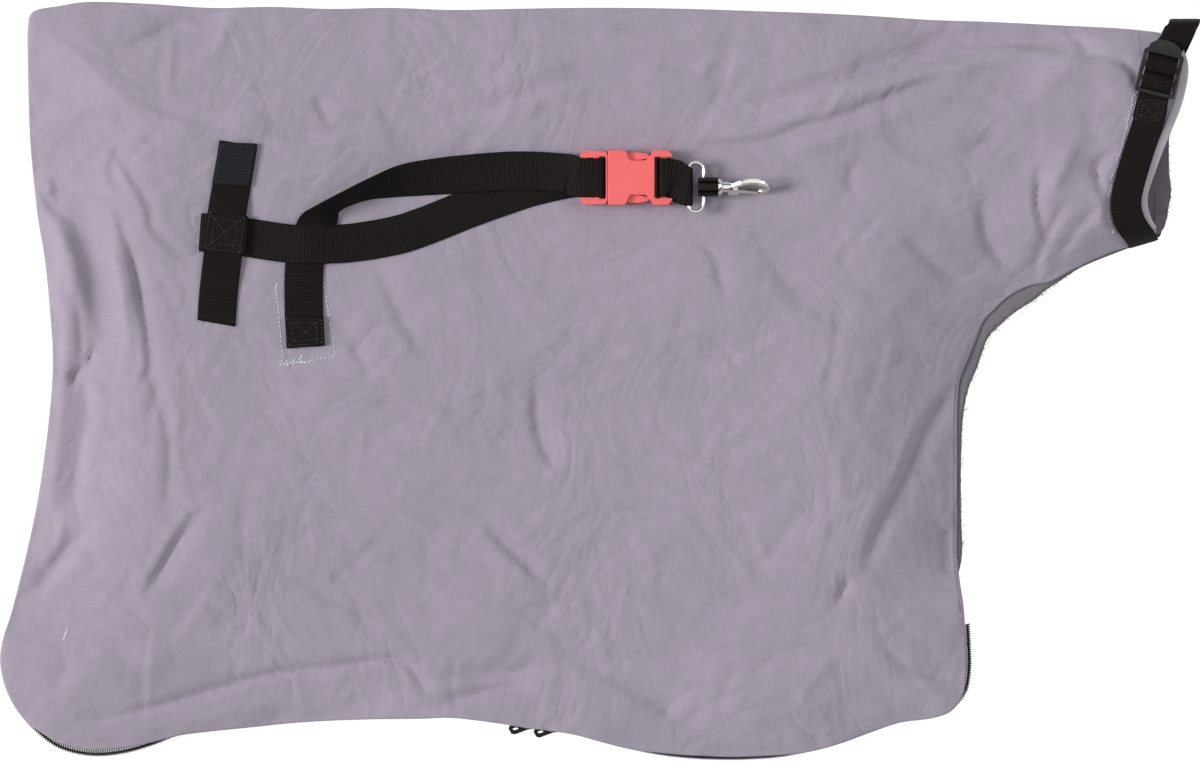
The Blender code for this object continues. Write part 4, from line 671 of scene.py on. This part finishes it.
HANGING_BAND = [
    (-234.3, 154.7, 24.9, 0.99, -0.16, 0), (-235.8, 145.2, 24.9, 0.99, -0.16, 0),
    (-237.3, 136.5, 24.9, 0.99, -0.16, 0), (-239.2, 124.2, 24.9, 0.99, -0.16, 0),
    (-240.3, 118.3, 25.8, 0.99, -0.16, 0), (-241.5, 110.5, 26.6, 0.99, -0.13, 0),
    (-242.4, 102, 26.7, 0.99, -0.10, 0), (-243.4, 92, 26.7, 0.99, -0.10, 0),
    (-244.4, 82.5, 26.6, 0.99, -0.11, 0), (-245.3, 74.5, 26.1, 0.99, -0.12, 0),
    (-246.2, 67.1, 25.4, 0.99, -0.11, 0), (-247, 59.8, 24.9, 1, -0.09, 0),
    (-247.9, 48.9, 24.8, 1, -0.10, 0), (-248.6, 38, 24.9, 0.985, -0.17, 0),
]
band("hanging_webbing", HANGING_BAND, STRAP_WIDTH, STRAP_THICK, "bag", ["hanging_band"], square=False)

SHOULDER = [
    (-228.8, 94.9, 28.1, -0.07, -1, 0), (-242.9, 95.9, 28.1, -0.07, -1, 0),
    (-257.1, 96.9, 28.1, -0.07, -1, 0), (-257.9, 96.9, 27.9, -0.07, -1, 0),
    (-258.5, 96.9, 27.3, -0.07, -1, 0), (-258.7, 97, 26.6, -0.07, -1, 0),
    (-258.5, 96.9, 25.8, -0.07, -1, 0), (-257.9, 96.9, 25.2, -0.07, -1, 0),
    (-257.1, 96.9, 24.9, -0.07, -1, 0), (-240.1, 95.7, 24.9, -0.07, -1, 0),
    (-222.3, 92.6, 24.9, -0.15, -0.99, 0), (-204.8, 90, 26.6, -0.12, -0.99, 0),
    (-191.8, 89.1, 27.8, -0.04, -1, 0), (-178.7, 89.1, 26.6, 0.03, -1, 0),
    (-162.5, 90, 25.4, 0.10, -1, 0), (-146.2, 92.3, 25.4, 0.17, -0.99, 0),
    (-130, 95.6, 25.4, 0.24, -0.97, 0), (-119.9, 98.8, 25.1, 0.33, -0.95, 0),
    (-109.2, 102.7, 24.9, 0.36, -0.93, 0), (-99, 106.8, 24.9, 0.38, -0.93, 0),
    (-88.4, 111.1, 24.9, 0.36, -0.93, 0), (-76.6, 115.5, 24.9, 0.34, -0.94, 0),
    (-65, 119.6, 24.9, 0.33, -0.94, 0), (-54.8, 123.1, 24.9, 0.32, -0.95, 0),
    (-45.5, 126.1, 24.9, 0.26, -0.97, 0), (-29.2, 130, 24.9, 0.23, -0.97, 0),
    (-16, 132.3, 25, 0, -1, 0), (-0.2, 132.3, 25, 0, -1, 0), (1.6, 132.3, 25.5, 0, -1, 0),
    (2.6, 132.3, 26.9, 0, -1, 0), (3.0, 132.3, 28.8, 0, -1, 0), (2.8, 132.3, 30.9, 0, -1, 0),
    (2.0, 132.3, 32.3, 0, -1, 0), (0.2, 132.3, 32.9, 0, -1, 0), (-14, 132.3, 32.8, 0, -1, 0),
    (-19.5, 134.9, 30.1, -0.10, -0.99, 0), (-28.1, 135.8, 28.6, -0.09, -1, 0),
    (-37.1, 136.5, 27.6, -0.06, -1, 0), (-46.9, 136.8, 27.3, -0.02, -1, 0),
    (-57.2, 136.8, 27.6, 0.03, -1, 0), (-67.6, 136.3, 28.1, 0.06, -1, -0.05),
    (-78, 135.5, 28.6, 0.07, -0.99, -0.10), (-88, 134.7, 28.5, 0.08, -0.98, -0.18),
    (-97.5, 133.9, 28.6, 0.08, -0.97, -0.24), (-105.8, 133.1, 29.2, 0.06, -0.94, -0.33),
    (-113.8, 132.3, 30, 0.06, -0.91, -0.40), (-121.9, 131.3, 31, 0.07, -0.87, -0.48),
    (-130, 130, 31.9, 0.10, -0.80, -0.59), (-138.3, 128, 33.1, 0.12, -0.68, -0.72),
    (-146.2, 125.8, 34.2, 0.14, -0.54, -0.83), (-153.2, 123.4, 35.0, 0.16, -0.44, -0.88),
    (-159.3, 120.9, 35.6, 0.17, -0.38, -0.91), (-169.5, 116, 35.9, 0.22, -0.32, -0.92),
    (-176.5, 111.2, 34.6, 0.42, -0.34, -0.84), (-181.5, 105.6, 30.4, 0.76, -0.42, -0.5),
    (-184.9, 98.8, 25.8, 0.91, -0.40, -0.07), (-188.5, 89.1, 24.9, 0.96, -0.28, 0),
    (-191.1, 78, 24.9, 0.98, -0.18, 0), (-191.8, 71.1, 24.9, 1, -0.07, 0),
    (-192.1, 63.1, 24.9, 1, -0.02, 0), (-192, 53.6, 24.9, 1, 0.02, 0),
    (-191.8, 43.5, 24.9, 1, 0.04, 0), (-191.3, 33.8, 24.9, 1, 0.05, 0),
    (-190.8, 24, 24.9, 1, 0.05, 0), (-190.8, 23.7, 25.1, 1, 0.05, 0),
    (-190.7, 23.4, 25.4, 1, 0.05, 0), (-190.7, 23.3, 25.8, 1, 0.05, 0),
    (-190.7, 23.4, 26.1, 1, 0.05, 0), (-190.8, 23.7, 26.4, 1, 0.05, 0),
    (-190.8, 24, 26.6, 1, 0.05, 0), (-191.6, 42.2, 26.6, 1, 0.05, 0),
]
band("shoulder_webbing", SHOULDER, STRAP_WIDTH, STRAP_THICK, "bag", ["shoulder_strap"])

NECK = [
    (354.6, 169.4, 26.9, 0.97, -0.24, 0), (357.7, 182, 28.1, 0.97, -0.24, 0),
    (360.1, 191.7, 28.1, 0.97, -0.24, 0), (361.1, 195.8, 28.4, 0.97, -0.24, 0),
    (361.9, 198.6, 30.4, 0.97, -0.24, 0), (362.0, 199.2, 32.6, 0.97, -0.24, 0),
    (361.5, 197.4, 34.6, 0.97, -0.24, 0), (360.9, 194.8, 35.2, 0.97, -0.24, 0),
    (360.3, 192.2, 34.8, 0.97, -0.24, 0), (359.7, 189.9, 33.6, 0.97, -0.24, 0),
    (359.4, 188.8, 31.4, 0.97, -0.24, 0), (359, 187.1, 29.9, 0.97, -0.24, 0),
    (358.1, 183.5, 29.6, 0.97, -0.24, 0), (357.2, 175.5, 29.4, 0.96, -0.29, 0),
    (354.3, 165.7, 27.6, 0.95, -0.30, 0), (350, 152.8, 26.8, 0.95, -0.30, 0),
    (345.8, 139.1, 26.3, 0.96, -0.27, 0), (342.2, 125.5, 24.9, 0.98, -0.19, 0),
    (340.9, 115, 22.4, 1, 0.03, 0), (342.9, 105.5, 20.3, 0.95, 0.28, 0),
    (346.2, 99.5, 18.6, 0.92, 0.38, 0), (350.4, 94.2, 13, 0.95, 0.30, 0),
    (352.6, 91, 7, 0.96, 0.28, 0), (353.1, 89.9, 3.4, 0.96, 0.28, 0),
    (352.6, 91.2, 0.6, 0.96, 0.28, 0), (354.5, 97, 0.6, 0.99, -0.13, 0),
    (356.8, 108.5, 0.6, 1, -0.05, 0), (356.8, 131.3, 0.6, 1, -0.01, 0),
    (357.5, 157.3, 0.6, 1, -0.09, 0), (361.4, 183.3, 0.6, 0.98, -0.20, 0),
    (367.9, 208, 0.6, 0.95, -0.31, 0), (375.1, 224.9, 0.6, 0.92, -0.39, 0),
    (378.9, 232.4, 2, 1, 0, 0), (379.6, 234.7, 8, 1, 0, 0), (379.6, 235, 17, 1, 0, 0),
    (378.6, 232.7, 27.5, 1, 0, 0), (376.3, 228.1, 29.5, 1, 0, 0),
    (365.4, 212.9, 29.6, 0.97, -0.24, 0), (364.9, 210.9, 30.4, 0.97, -0.24, 0),
    (364.6, 209.6, 33.0, 0.97, -0.24, 0), (363.9, 206.8, 34.8, 0.97, -0.24, 0),
    (363.2, 203.9, 35.2, 0.97, -0.24, 0), (362.6, 201.6, 34.6, 0.97, -0.24, 0),
    (362.2, 200.0, 32.8, 0.97, -0.24, 0), (362.4, 200.6, 30.4, 0.97, -0.24, 0),
    (363, 203.4, 28.3, 0.97, -0.24, 0), (364.1, 207.8, 28.1, 0.97, -0.24, 0),
    (365.9, 215, 28.1, 0.97, -0.24, 0),
]
band("neck_webbing", NECK, 20 * MM, 1.2 * MM, "bag", ["neck_strap"], square=False)

HOOK_LOOP = [
    (43.2, 132.3, 33.3, 0, -1, 0), (41.4, 132.3, 33.9, 0, -1, 0), (39.6, 132.3, 33.3, 0, -1, 0),
    (38.2, 132.3, 31.9, 0, -1, 0), (37.7, 132.3, 30.1, 0, -1, 0), (38.2, 132.3, 28.2, 0, -1, 0),
    (39.6, 132.3, 26.9, 0, -1, 0),
    (44, 132.3, 26.6, 0, -1, 0), (47.9, 131.6, 30.5, 0, -1, 0), (52.9, 127.8, 31.8, 0, -1, 0),
    (57.4, 126.3, 30.6, 0, -1, 0), (58.4, 126.3, 30.8, 0, -1, 0), (59.2, 126.3, 31.6, 0, -1, 0),
    (59.5, 126.3, 32.6, 0, -1, 0), (59.2, 126.3, 33.6, 0, -1, 0), (58.4, 126.3, 34.4, 0, -1, 0),
    (57.4, 126.3, 34.7, 0, -1, 0), (52.9, 127.8, 33.4, 0, -1, 0), (47.9, 131.6, 32.9, 0, -1, 0),
    (45, 132.1, 33.5, 0, -1, 0), (43.0, 132.3, 34.1, 0, -1, 0), (41.6, 132.3, 34.5, 0, -1, 0),
]
band("hook_loop_webbing", HOOK_LOOP, STRAP_WIDTH, STRAP_THICK, "buckle_socket", ["hook_loop"])

PATCH = [(-234.3, 154.9, 26.6, 0.999, -0.04, 0), (-239.2, 127.4, 26.6, 0.9986, -0.053, 0)]


def taped(start):
    """Smooth black tape with a fine twill and faint ribs across, lighter blue-grey on the ribs as a painted
    sheen.
    """
    rib = start.ribs("run", 0.0014)
    place = start.place()
    twill = start.node(
        "ShaderNodeTexWave", {"wave_type": "BANDS", "bands_direction": "DIAGONAL"},
        Vector=place, Scale=700.0, Distortion=0.5,
    )
    cloud = place.noise(120.0, 3.0)
    # The ribs and the blue-grey light end of the colour are a painted sheen; twill and cloud are random tone.
    shade = twill * 0.15 + cloud * 0.35 + rib * 0.45
    colour = start.mix(shade, (0.004, 0.004, 0.006, 1), (0.027, 0.025, 0.034, 1))
    return {"Base Color": colour, "Normal": (twill * 0.3 + rib * 0.7).bump(0.0005, 0.8)}


tape = finish("smooth_black_tape", taped, Roughness=0.75, Specular_IOR_Level=0.2)
band("band_end_tape", PATCH, 24.6 * MM, 0.8 * MM, "bag", ["band_end_patch"], "black_tape", tape, square=False)

# Moulded and metal parts: the red buckle, the dark ladder lock, the bright ring and hook, the
# sleeve, whose barrel is painted near black as a dark reflection, and the zip's sliders and
# pulls. Each has its solid's shape, with its edges rounded.
def moulded(start):
    """Red acetal with a fine skin."""
    place = start.place()
    skin = place.noise(900.0, 2.0)
    colour = start.mix(place.noise(90.0, 3.0), (0.88, 0.125, 0.125, 1), (0.97, 0.175, 0.170, 1))
    return {"Base Color": colour, "Normal": skin.bump(0.0001, 0.15), "Roughness": 0.33 + skin * 0.12}


red_plastic = finish("red_acetal", moulded, Specular_IOR_Level=0.5)


def moulded_black(start):
    """Black acetal with a fine skin."""
    skin = start.place().noise(1100.0, 2.0)
    colour = start.mix(skin, (0.009, 0.009, 0.010, 1), (0.024, 0.024, 0.026, 1))
    return {"Base Color": colour, "Normal": skin.bump(0.0001, 0.2), "Roughness": 0.38 + skin * 0.15}


black_plastic = finish("black_acetal", moulded_black, Specular_IOR_Level=0.15)


def plated(start):
    """Bright nickel with a faint haze."""
    haze = start.place().noise(260.0, 3.0)
    colour = start.mix(haze, (0.78, 0.75, 0.70, 1), (0.93, 0.90, 0.85, 1))
    return {"Base Color": colour, "Roughness": 0.10 + haze * 0.16}


nickel = finish("bright_nickel", plated, Metallic=1.0)


def moulded_grey(start):
    """The lock's dark acetal, lighter grey in random patches as a painted highlight."""
    highlight_patches = start.place().noise(140.0, 4.0)
    # The lighter grey end is a painted highlight, spread in random patches.
    colour = start.mix(highlight_patches, (0.012, 0.011, 0.012, 1), (0.055, 0.052, 0.054, 1))
    return {"Base Color": colour, "Roughness": 0.3 + highlight_patches * 0.2}


grey_acetal = finish("grey_acetal", moulded_grey, Specular_IOR_Level=0.1)


def cast(start):
    """Nickel over a die casting: dull, a little pitted."""
    pits = start.place().noise(420.0, 3.0)
    colour = start.mix(pits, (0.30, 0.29, 0.27, 1), (0.52, 0.51, 0.49, 1))
    return {"Base Color": colour, "Roughness": 0.16 + pits * 0.2, "Normal": pits.bump(0.0001, 0.3)}


dark_metal = finish("cast_nickel", cast, Metallic=1.0)
NOSE_START = 76.6 * MM


def barrel(start):
    """The sleeve: its barrel painted near black as a dark reflection, bright nickel on the nose by the hook.
    """
    place = start.place()
    x = start.node("ShaderNodeSeparateXYZ", output=0, Vector=place)
    nose = start.maths("GREATER_THAN", x, NOSE_START)
    # The barrel's near-black colour is a painted reflection of a dark surrounding; only the nose shows the
    # nickel's own colour.
    colour = start.mix(nose, (0.022, 0.020, 0.019, 1), (0.80, 0.77, 0.72, 1))
    return {"Base Color": colour, "Roughness": 0.12 + place.noise(300.0, 3.0) * 0.2}


barrel_metal = finish("nickel_painted_dark_reflection", barrel, Metallic=1.0)
CORNER = math.radians(38)


def softened(name, node, material, body, slot, radius, swell=0.0):
    """A part in its solid's shape, with its edges rounded, or a little fuller."""
    bm = bmesh.new()
    bm.from_mesh(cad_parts[node].data)
    bmesh.ops.remove_doubles(bm, verts=bm.verts, dist=0.002 * MM)
    bmesh.ops.dissolve_limit(bm, angle_limit=math.radians(1.0), verts=bm.verts, edges=bm.edges)
    bm.normal_update()
    for v in bm.verts:
        v.co += v.normal * swell
    thing = piece(name, bm, material, body, slot, node)
    thing.data.set_sharp_from_angle(angle=CORNER)
    if radius:
        edges = thing.modifiers.new("edges", "BEVEL")
        edges.width = radius
        edges.segments = 3
        edges.limit_method = "ANGLE"
        edges.angle_limit = CORNER
        thing.modifiers.new("normals", "WEIGHTED_NORMAL").keep_sharp = True
    return thing


softened("male_half", "buckle_male", red_plastic, "bag", "red_plastic", 0.45 * MM)
softened("female_half", "buckle_female", red_plastic, "buckle_socket", "red_plastic", 0.45 * MM)
softened("strap_lock", "ladder_lock", grey_acetal, "bag", "black_plastic", 0.45 * MM)
wire = softened("ring", "wire_ring", nickel, "ring", "nickel", 0, 0.35 * MM)
round_wire = wire.modifiers.new("round", "SUBSURF")
round_wire.levels = round_wire.render_levels = 2
softened("sleeve", "swivel_sleeve", barrel_metal, "swivel", "dark_metal", 0.3 * MM)
softened("hook", "snap_hook", nickel, "hook", "nickel", 0, 0.1 * MM)
softened("gate", "hook_gate", nickel, "gate", "nickel", 0.2 * MM)
for side in ("left", "right"):
    slider, pull = "slider_" + side, "pull_" + side
    softened(slider, "zip_" + slider, dark_metal, slider, "dark_metal", 0.2 * MM)
    softened(pull, "zip_" + pull, black_plastic, pull, "black_plastic", 0.3 * MM, 0.4 * MM)

# Inner reinforcement: a small square of the same cotton under the front, where the strap's
# tail is sewn on. It is as plain as its solid.
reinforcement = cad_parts["inner_reinforcement"].data
reinforcement.materials.clear()
reinforcement.materials.append(grey_cotton)

# Mouth hem: the front panel's free edge is turned over and sewn, so it shows as a pale roll
# along the mouth. It is cut from the panel's own cloth.
HEM_INSET = 0.9
HEM_LIFT = 1.3
mouth = curve_through([(*at(x, y), z * MM) for x, y, z in FRONT_MOUTH], 3 * MM)
hem = [(*(spot / MM), 0, 0, 0) for spot in mouth[1:-1]]
for i, row in enumerate(hem):
    ahead, behind = hem[min(i + 1, len(hem) - 1)], hem[max(i - 1, 0)]
    run = Vector((ahead[0] - behind[0], ahead[1] - behind[1], 0)).normalized()
    out = Vector((-run.y, run.x, 0))
    x, y = row[0] - out.x * HEM_INSET, row[1] - out.y * HEM_INSET
    hem[i] = (x, y, row[2] + HEM_LIFT, out.x, out.y, -0.3)
# The hem's cotton is mixed towards a pale grey.
pale_hem_cotton = finish("grey_cotton_hem", tinted_cotton(0.65, (0.60, 0.57, 0.62, 1)), Roughness=0.95)
band("mouth_hem", hem, 5.8 * MM, 1.9 * MM, "bag", [], "grey_cotton", pale_hem_cotton)

# Zip: two black tapes with a coil between them, sewn under the front's edge and to the back
# panel all along the floor. The coil is drawn tooth by tooth.
ZIP_LINE = [
    (236.9, -153.4), (237.9, -170.9), (238.2, -185.9), (235.6, -200.2), (227.5, -209.3),
    (213.2, -213.9), (195, -216.5), (175.5, -223.3), (156, -230.7), (136.5, -236.9),
    (117, -240.8), (103, -242), (87.8, -242.6), (72.5, -242.4), (58.5, -241.7), (39, -239.5),
    (19.5, -235.3), (1.3, -228.5), (-14.3, -224.8), (-39.2, -221.7), (-64, -218.6),
    (-88.9, -215.5), (-113.8, -212.4), (-135.1, -212.3), (-156, -212.5), (-175.7, -213.6),
    (-195, -215.1), (-215.7, -217.1), (-234, -219.1), (-253.5, -222), (-273, -226.2),
    (-292.5, -233.7), (-312, -238.9), (-331.5, -240), (-351, -235), (-366.6, -222.9),
    (-377, -210), (-382.8, -196.3), (-384.8, -179.4),
]
ZIP_TILT = math.radians(35)
zip_path = curve_through(ZIP_LINE, 2.4)


def zip_out(i):
    """The level direction out of the bag at a point of the zip."""
    run = zip_path[min(i + 1, len(zip_path) - 1)] - zip_path[max(i - 1, 0)]
    run /= np.hypot(*run)
    return np.array([-run[1], run[0]])


upper, lower = [], []
for i in range(2, len(zip_path) - 2, 2):
    spot, out = zip_path[i], zip_out(i)
    reach, drop = math.cos(ZIP_TILT), math.sin(ZIP_TILT)
    upper.append((*(spot - out * reach * 6.2), 6.0 + drop * 6.2, *(out * reach), -drop))
    lower.append((*(spot + out * 1.5), 4.1, *(out * 0.25), -0.97))
band("zip_tape_upper", upper, 8 * MM, 0.6 * MM, "bag", ["zip_tape_front"], "black_tape", tape)
band("zip_tape_lower", lower, 5.2 * MM, 0.6 * MM, "bag", ["zip_tape_back"], "black_tape", tape)

COIL_HEIGHT = 7.5
COIL_HALF = 1.55 * MM
TOOTH_PITCH = 1.5
TOOTH_RADIUS = 0.55 * MM
tooth_path = curve_through(ZIP_LINE, TOOTH_PITCH)
up = Vector((0, 0, 1))
bm = bmesh.new()
for i in range(3, len(tooth_path) - 3):
    run = tooth_path[i + 1] - tooth_path[i - 1]
    run /= np.hypot(*run)
    out = Vector((-run[1], run[0], 0))
    face = out * math.sin(ZIP_TILT) + up * math.cos(ZIP_TILT)
    across = out * math.cos(ZIP_TILT) - up * math.sin(ZIP_TILT)
    for side in (-1, 1):
        turn = Matrix((Vector((run[0], run[1], 0)), across, face)).transposed().to_4x4()
        turn.translation = Vector((*tooth_path[i], COIL_HEIGHT)) * MM + across * side * COIL_HALF
        turn = turn @ Matrix.Rotation(0.22 * side, 4, "Z")
        bmesh.ops.create_cone(
            bm, cap_ends=True, segments=6, radius1=TOOTH_RADIUS, radius2=TOOTH_RADIUS, depth=3.1 * MM,
            matrix=turn @ Matrix.Rotation(math.pi / 2, 4, "X") @ Matrix.Diagonal((1, 2.0, 1, 1)),
        )
piece("zip_coil", bm, tape, "bag", "black_plastic", "zip_chain_front", "zip_chain_back")

# Sewing thread: black box stitches hold the webbing, white thread holds the patch behind the
# strap's tail, and pale thread runs down the neck. Each stitch is one short grain, and so is
# each loose yarn of the raw edges.
def thread(name, low, high, roughness):
    """Twisted thread, between two colours."""
    def pattern(start):
        return {"Base Color": start.mix(start.place().noise(900.0, 2.0), low, high)}
    return finish(name, pattern, Roughness=roughness)


white_thread = thread("white_thread", (0.62, 0.64, 0.70, 1), (0.9, 0.92, 0.97, 1), 0.7)
black_thread = thread("black_thread", (0.006, 0.005, 0.005, 1), (0.026, 0.022, 0.021, 1), 0.45)
cotton_thread = thread("cotton_thread", (0.10, 0.095, 0.10, 1), (0.30, 0.28, 0.30, 1), 0.9)
grey_thread = thread("grey_thread", (0.10, 0.085, 0.105, 1), (0.2, 0.175, 0.21, 1), 0.8)


def stitches(name, lines, material, pitch, length, thick, height, slot="grey_cotton", jitter=0.0):
    """Grains of thread along picture lines, each on the surface that height gives."""
    bm = bmesh.new()
    spots, turns = [], []
    for line in lines:
        row = curve_through([at(*p) for p in line], pitch * MM)
        for a, b in zip(row, row[1:]):
            spots.append((a + b) / 2 + chance.normal(0, max(jitter, 1e-9) * MM, 2))
            turns.append(math.atan2(b[1] - a[1], b[0] - a[0]) + chance.normal(0, 0.08 + jitter * 0.8))
    for spot, turn, z in zip(spots, turns, height(np.array(spots))):
        bmesh.ops.create_uvsphere(
            bm, u_segments=6, v_segments=4, radius=0.5,
            matrix=Matrix.Translation((*spot, z)) @ Matrix.Rotation(turn, 4, "Z")
            @ Matrix.Diagonal((length * MM * chance.uniform(0.8, 1.15), thick * MM, thick * MM * 0.9, 1)),
        )
    return piece(name, bm, material, "bag", slot)


def on_cloth(spots):
    """Just over the front panel."""
    return cloth_height(spots) + 0.15 * MM


def on_back(spots):
    """Just over the back panel."""
    return back_height(spots) + 0.2 * MM


def level_at(z):
    """One height for every spot."""
    return lambda spots: np.full(len(spots), z * MM)


def on_neck(spots):
    """The top of the neck strap under each spot."""
    rows = np.array([row[:3] for row in NECK[13:22]]) * MM
    _, _, run = beside(spots, rows[:, :2])
    return np.interp(run, marks_along(rows[:, :2]), rows[:, 2]) + 0.62 * MM


def boxed(corners, cross=True, shrink=0.14):
    """The lines of a box stitch inside four corners, with its two diagonals."""
    middle = np.mean(corners, axis=0)
    ring = [tuple(np.array(c) + (middle - np.array(c)) * shrink) for c in corners]
    lines = [[a, b] for a, b in zip(ring, ring[1:] + ring[:1])]
    return lines + ([[ring[0], ring[2]], [ring[1], ring[3]]] if cross else [])


def twice_boxed(corners, inner):
    """A box stitch with its diagonals, and a smaller box inside it."""
    return boxed(corners) + boxed(corners, cross=False, shrink=inner)


PATCH_BOX = [(221, 143), (258, 144.5), (251, 187), (213, 185)]
SLEEVE_BOX = [(209, 209), (249, 215), (243.6, 257), (203.5, 251)]
TAIL_BOX = [(283, 317), (325, 317), (327, 345), (287, 348)]
NECK_BOX = [(1136.5, 100), (1165, 100), (1159, 124), (1131, 122)]
stitches(
    "patch_thread", boxed(PATCH_BOX, cross=False, shrink=0.16),
    black_thread, pitch=2.4, length=2.0, thick=0.85, height=level_at(27.1), slot="black_tape",
)
stitches(
    "sleeve_thread", twice_boxed(SLEEVE_BOX, 0.42),
    black_thread, pitch=2.4, length=1.9, thick=0.9, height=level_at(28.85), slot="black_webbing",
)
stitches(
    "band_thread", [[(203, 315), (236, 322)]],
    black_thread, pitch=2.6, length=1.8, thick=0.8, height=level_at(25.65), slot="black_webbing",
)
stitches(
    "tail_thread", twice_boxed(TAIL_BOX, 0.4),
    black_thread, pitch=2.4, length=1.9, thick=0.9, height=level_at(27.35), slot="black_webbing",
)
stitches(
    "neck_box_thread", twice_boxed(NECK_BOX, 0.42),
    black_thread, pitch=2.2, length=1.7, thick=0.85, height=on_neck, slot="black_webbing",
)
stitches(
    "reinforcement_thread",
    [
        [(277, 284), (278.5, 300), (280.5, 320), (282.5, 343), (284, 358)],
        [(324, 281), (327.5, 300), (331, 322), (334, 340), (336, 356)],
        [(311, 361), (320, 359), (329, 357), (336, 356)],
        [(279, 283), (276, 290), (278, 297)],
    ],
    white_thread, pitch=2.9, length=2.0, thick=0.7, height=on_cloth, jitter=0.12,
)
stitches(
    "reinforcement_backtack",
    [
        [(277, 363), (284, 361), (281, 366), (289, 360), (288, 366), (296, 359), (294, 364),
         (303, 357), (301, 363), (309, 361), (312, 363)],
        [(284, 364), (297, 362), (311, 362.5)], [(303, 354), (302, 362)],
    ],
    white_thread, pitch=2.0, length=1.9, thick=0.7, height=on_cloth, jitter=0.25,
)
stitches(
    "loose_fleck", [[(69, 628), (67, 633), (65, 639)]],
    white_thread, pitch=2.2, length=3.2, thick=0.95, height=on_cloth,
)
stitches(
    "neck_pale_thread",
    [
        [(1132.5, 95), (1128.5, 114), (1121.5, 142), (1113.5, 168), (1108.5, 190), (1107, 205),
         (1109, 220), (1113, 234)],
    ],
    white_thread, pitch=1.5, length=1.5, thick=0.75, height=on_cloth, jitter=0.3,
)
stitches(
    "hem_thread", [[(1138, 31), (1138.5, 45), (1139, 58)]],
    black_thread, pitch=2.0, length=1.1, thick=0.4, height=on_cloth,
)
SEAM = [(959, 384), (957, 420), (957, 470), (957, 520), (957, 555), (960, 585), (963, 612)]
stitches(
    "seam_thread", [[(x - 3.5, y) for x, y in SEAM]],
    grey_thread, pitch=2.2, length=2.3, thick=0.4, height=on_cloth,
)
stitches(
    "mouth_seam", [[(1155, 192), (1154.6, 208), (1154.2, 224)]],
    grey_thread, pitch=1.6, length=2.0, thick=0.5, height=on_back,
)
stitches(
    "mouth_backtack", [[(1158, 213), (1168, 213.4)]],
    grey_thread, pitch=1.8, length=1.9, thick=0.6, height=on_back, jitter=0.1,
)
stitches(
    "frayed_edge",
    [
        [(1171, 118), (1168.5, 134), (1168.5, 170), (1170, 190), (1167, 210), (1163, 228)],
        [(1077, 268.5), (1056, 282.5), (1045.5, 289.5), (1033.5, 299.5), (1013.5, 312.5),
         (999.5, 324.5), (988.5, 335.5)],
        [(982.5, 350), (976.5, 368), (967.5, 390), (962.5, 418), (960.5, 460), (960.5, 510), (961.5, 552)],
        [(1054, 284.5), (1033, 300.5), (1013, 314), (999, 326), (982, 352)],
    ],
    cotton_thread, pitch=1.5, length=3.6, thick=0.3, height=on_back, jitter=0.75,
)
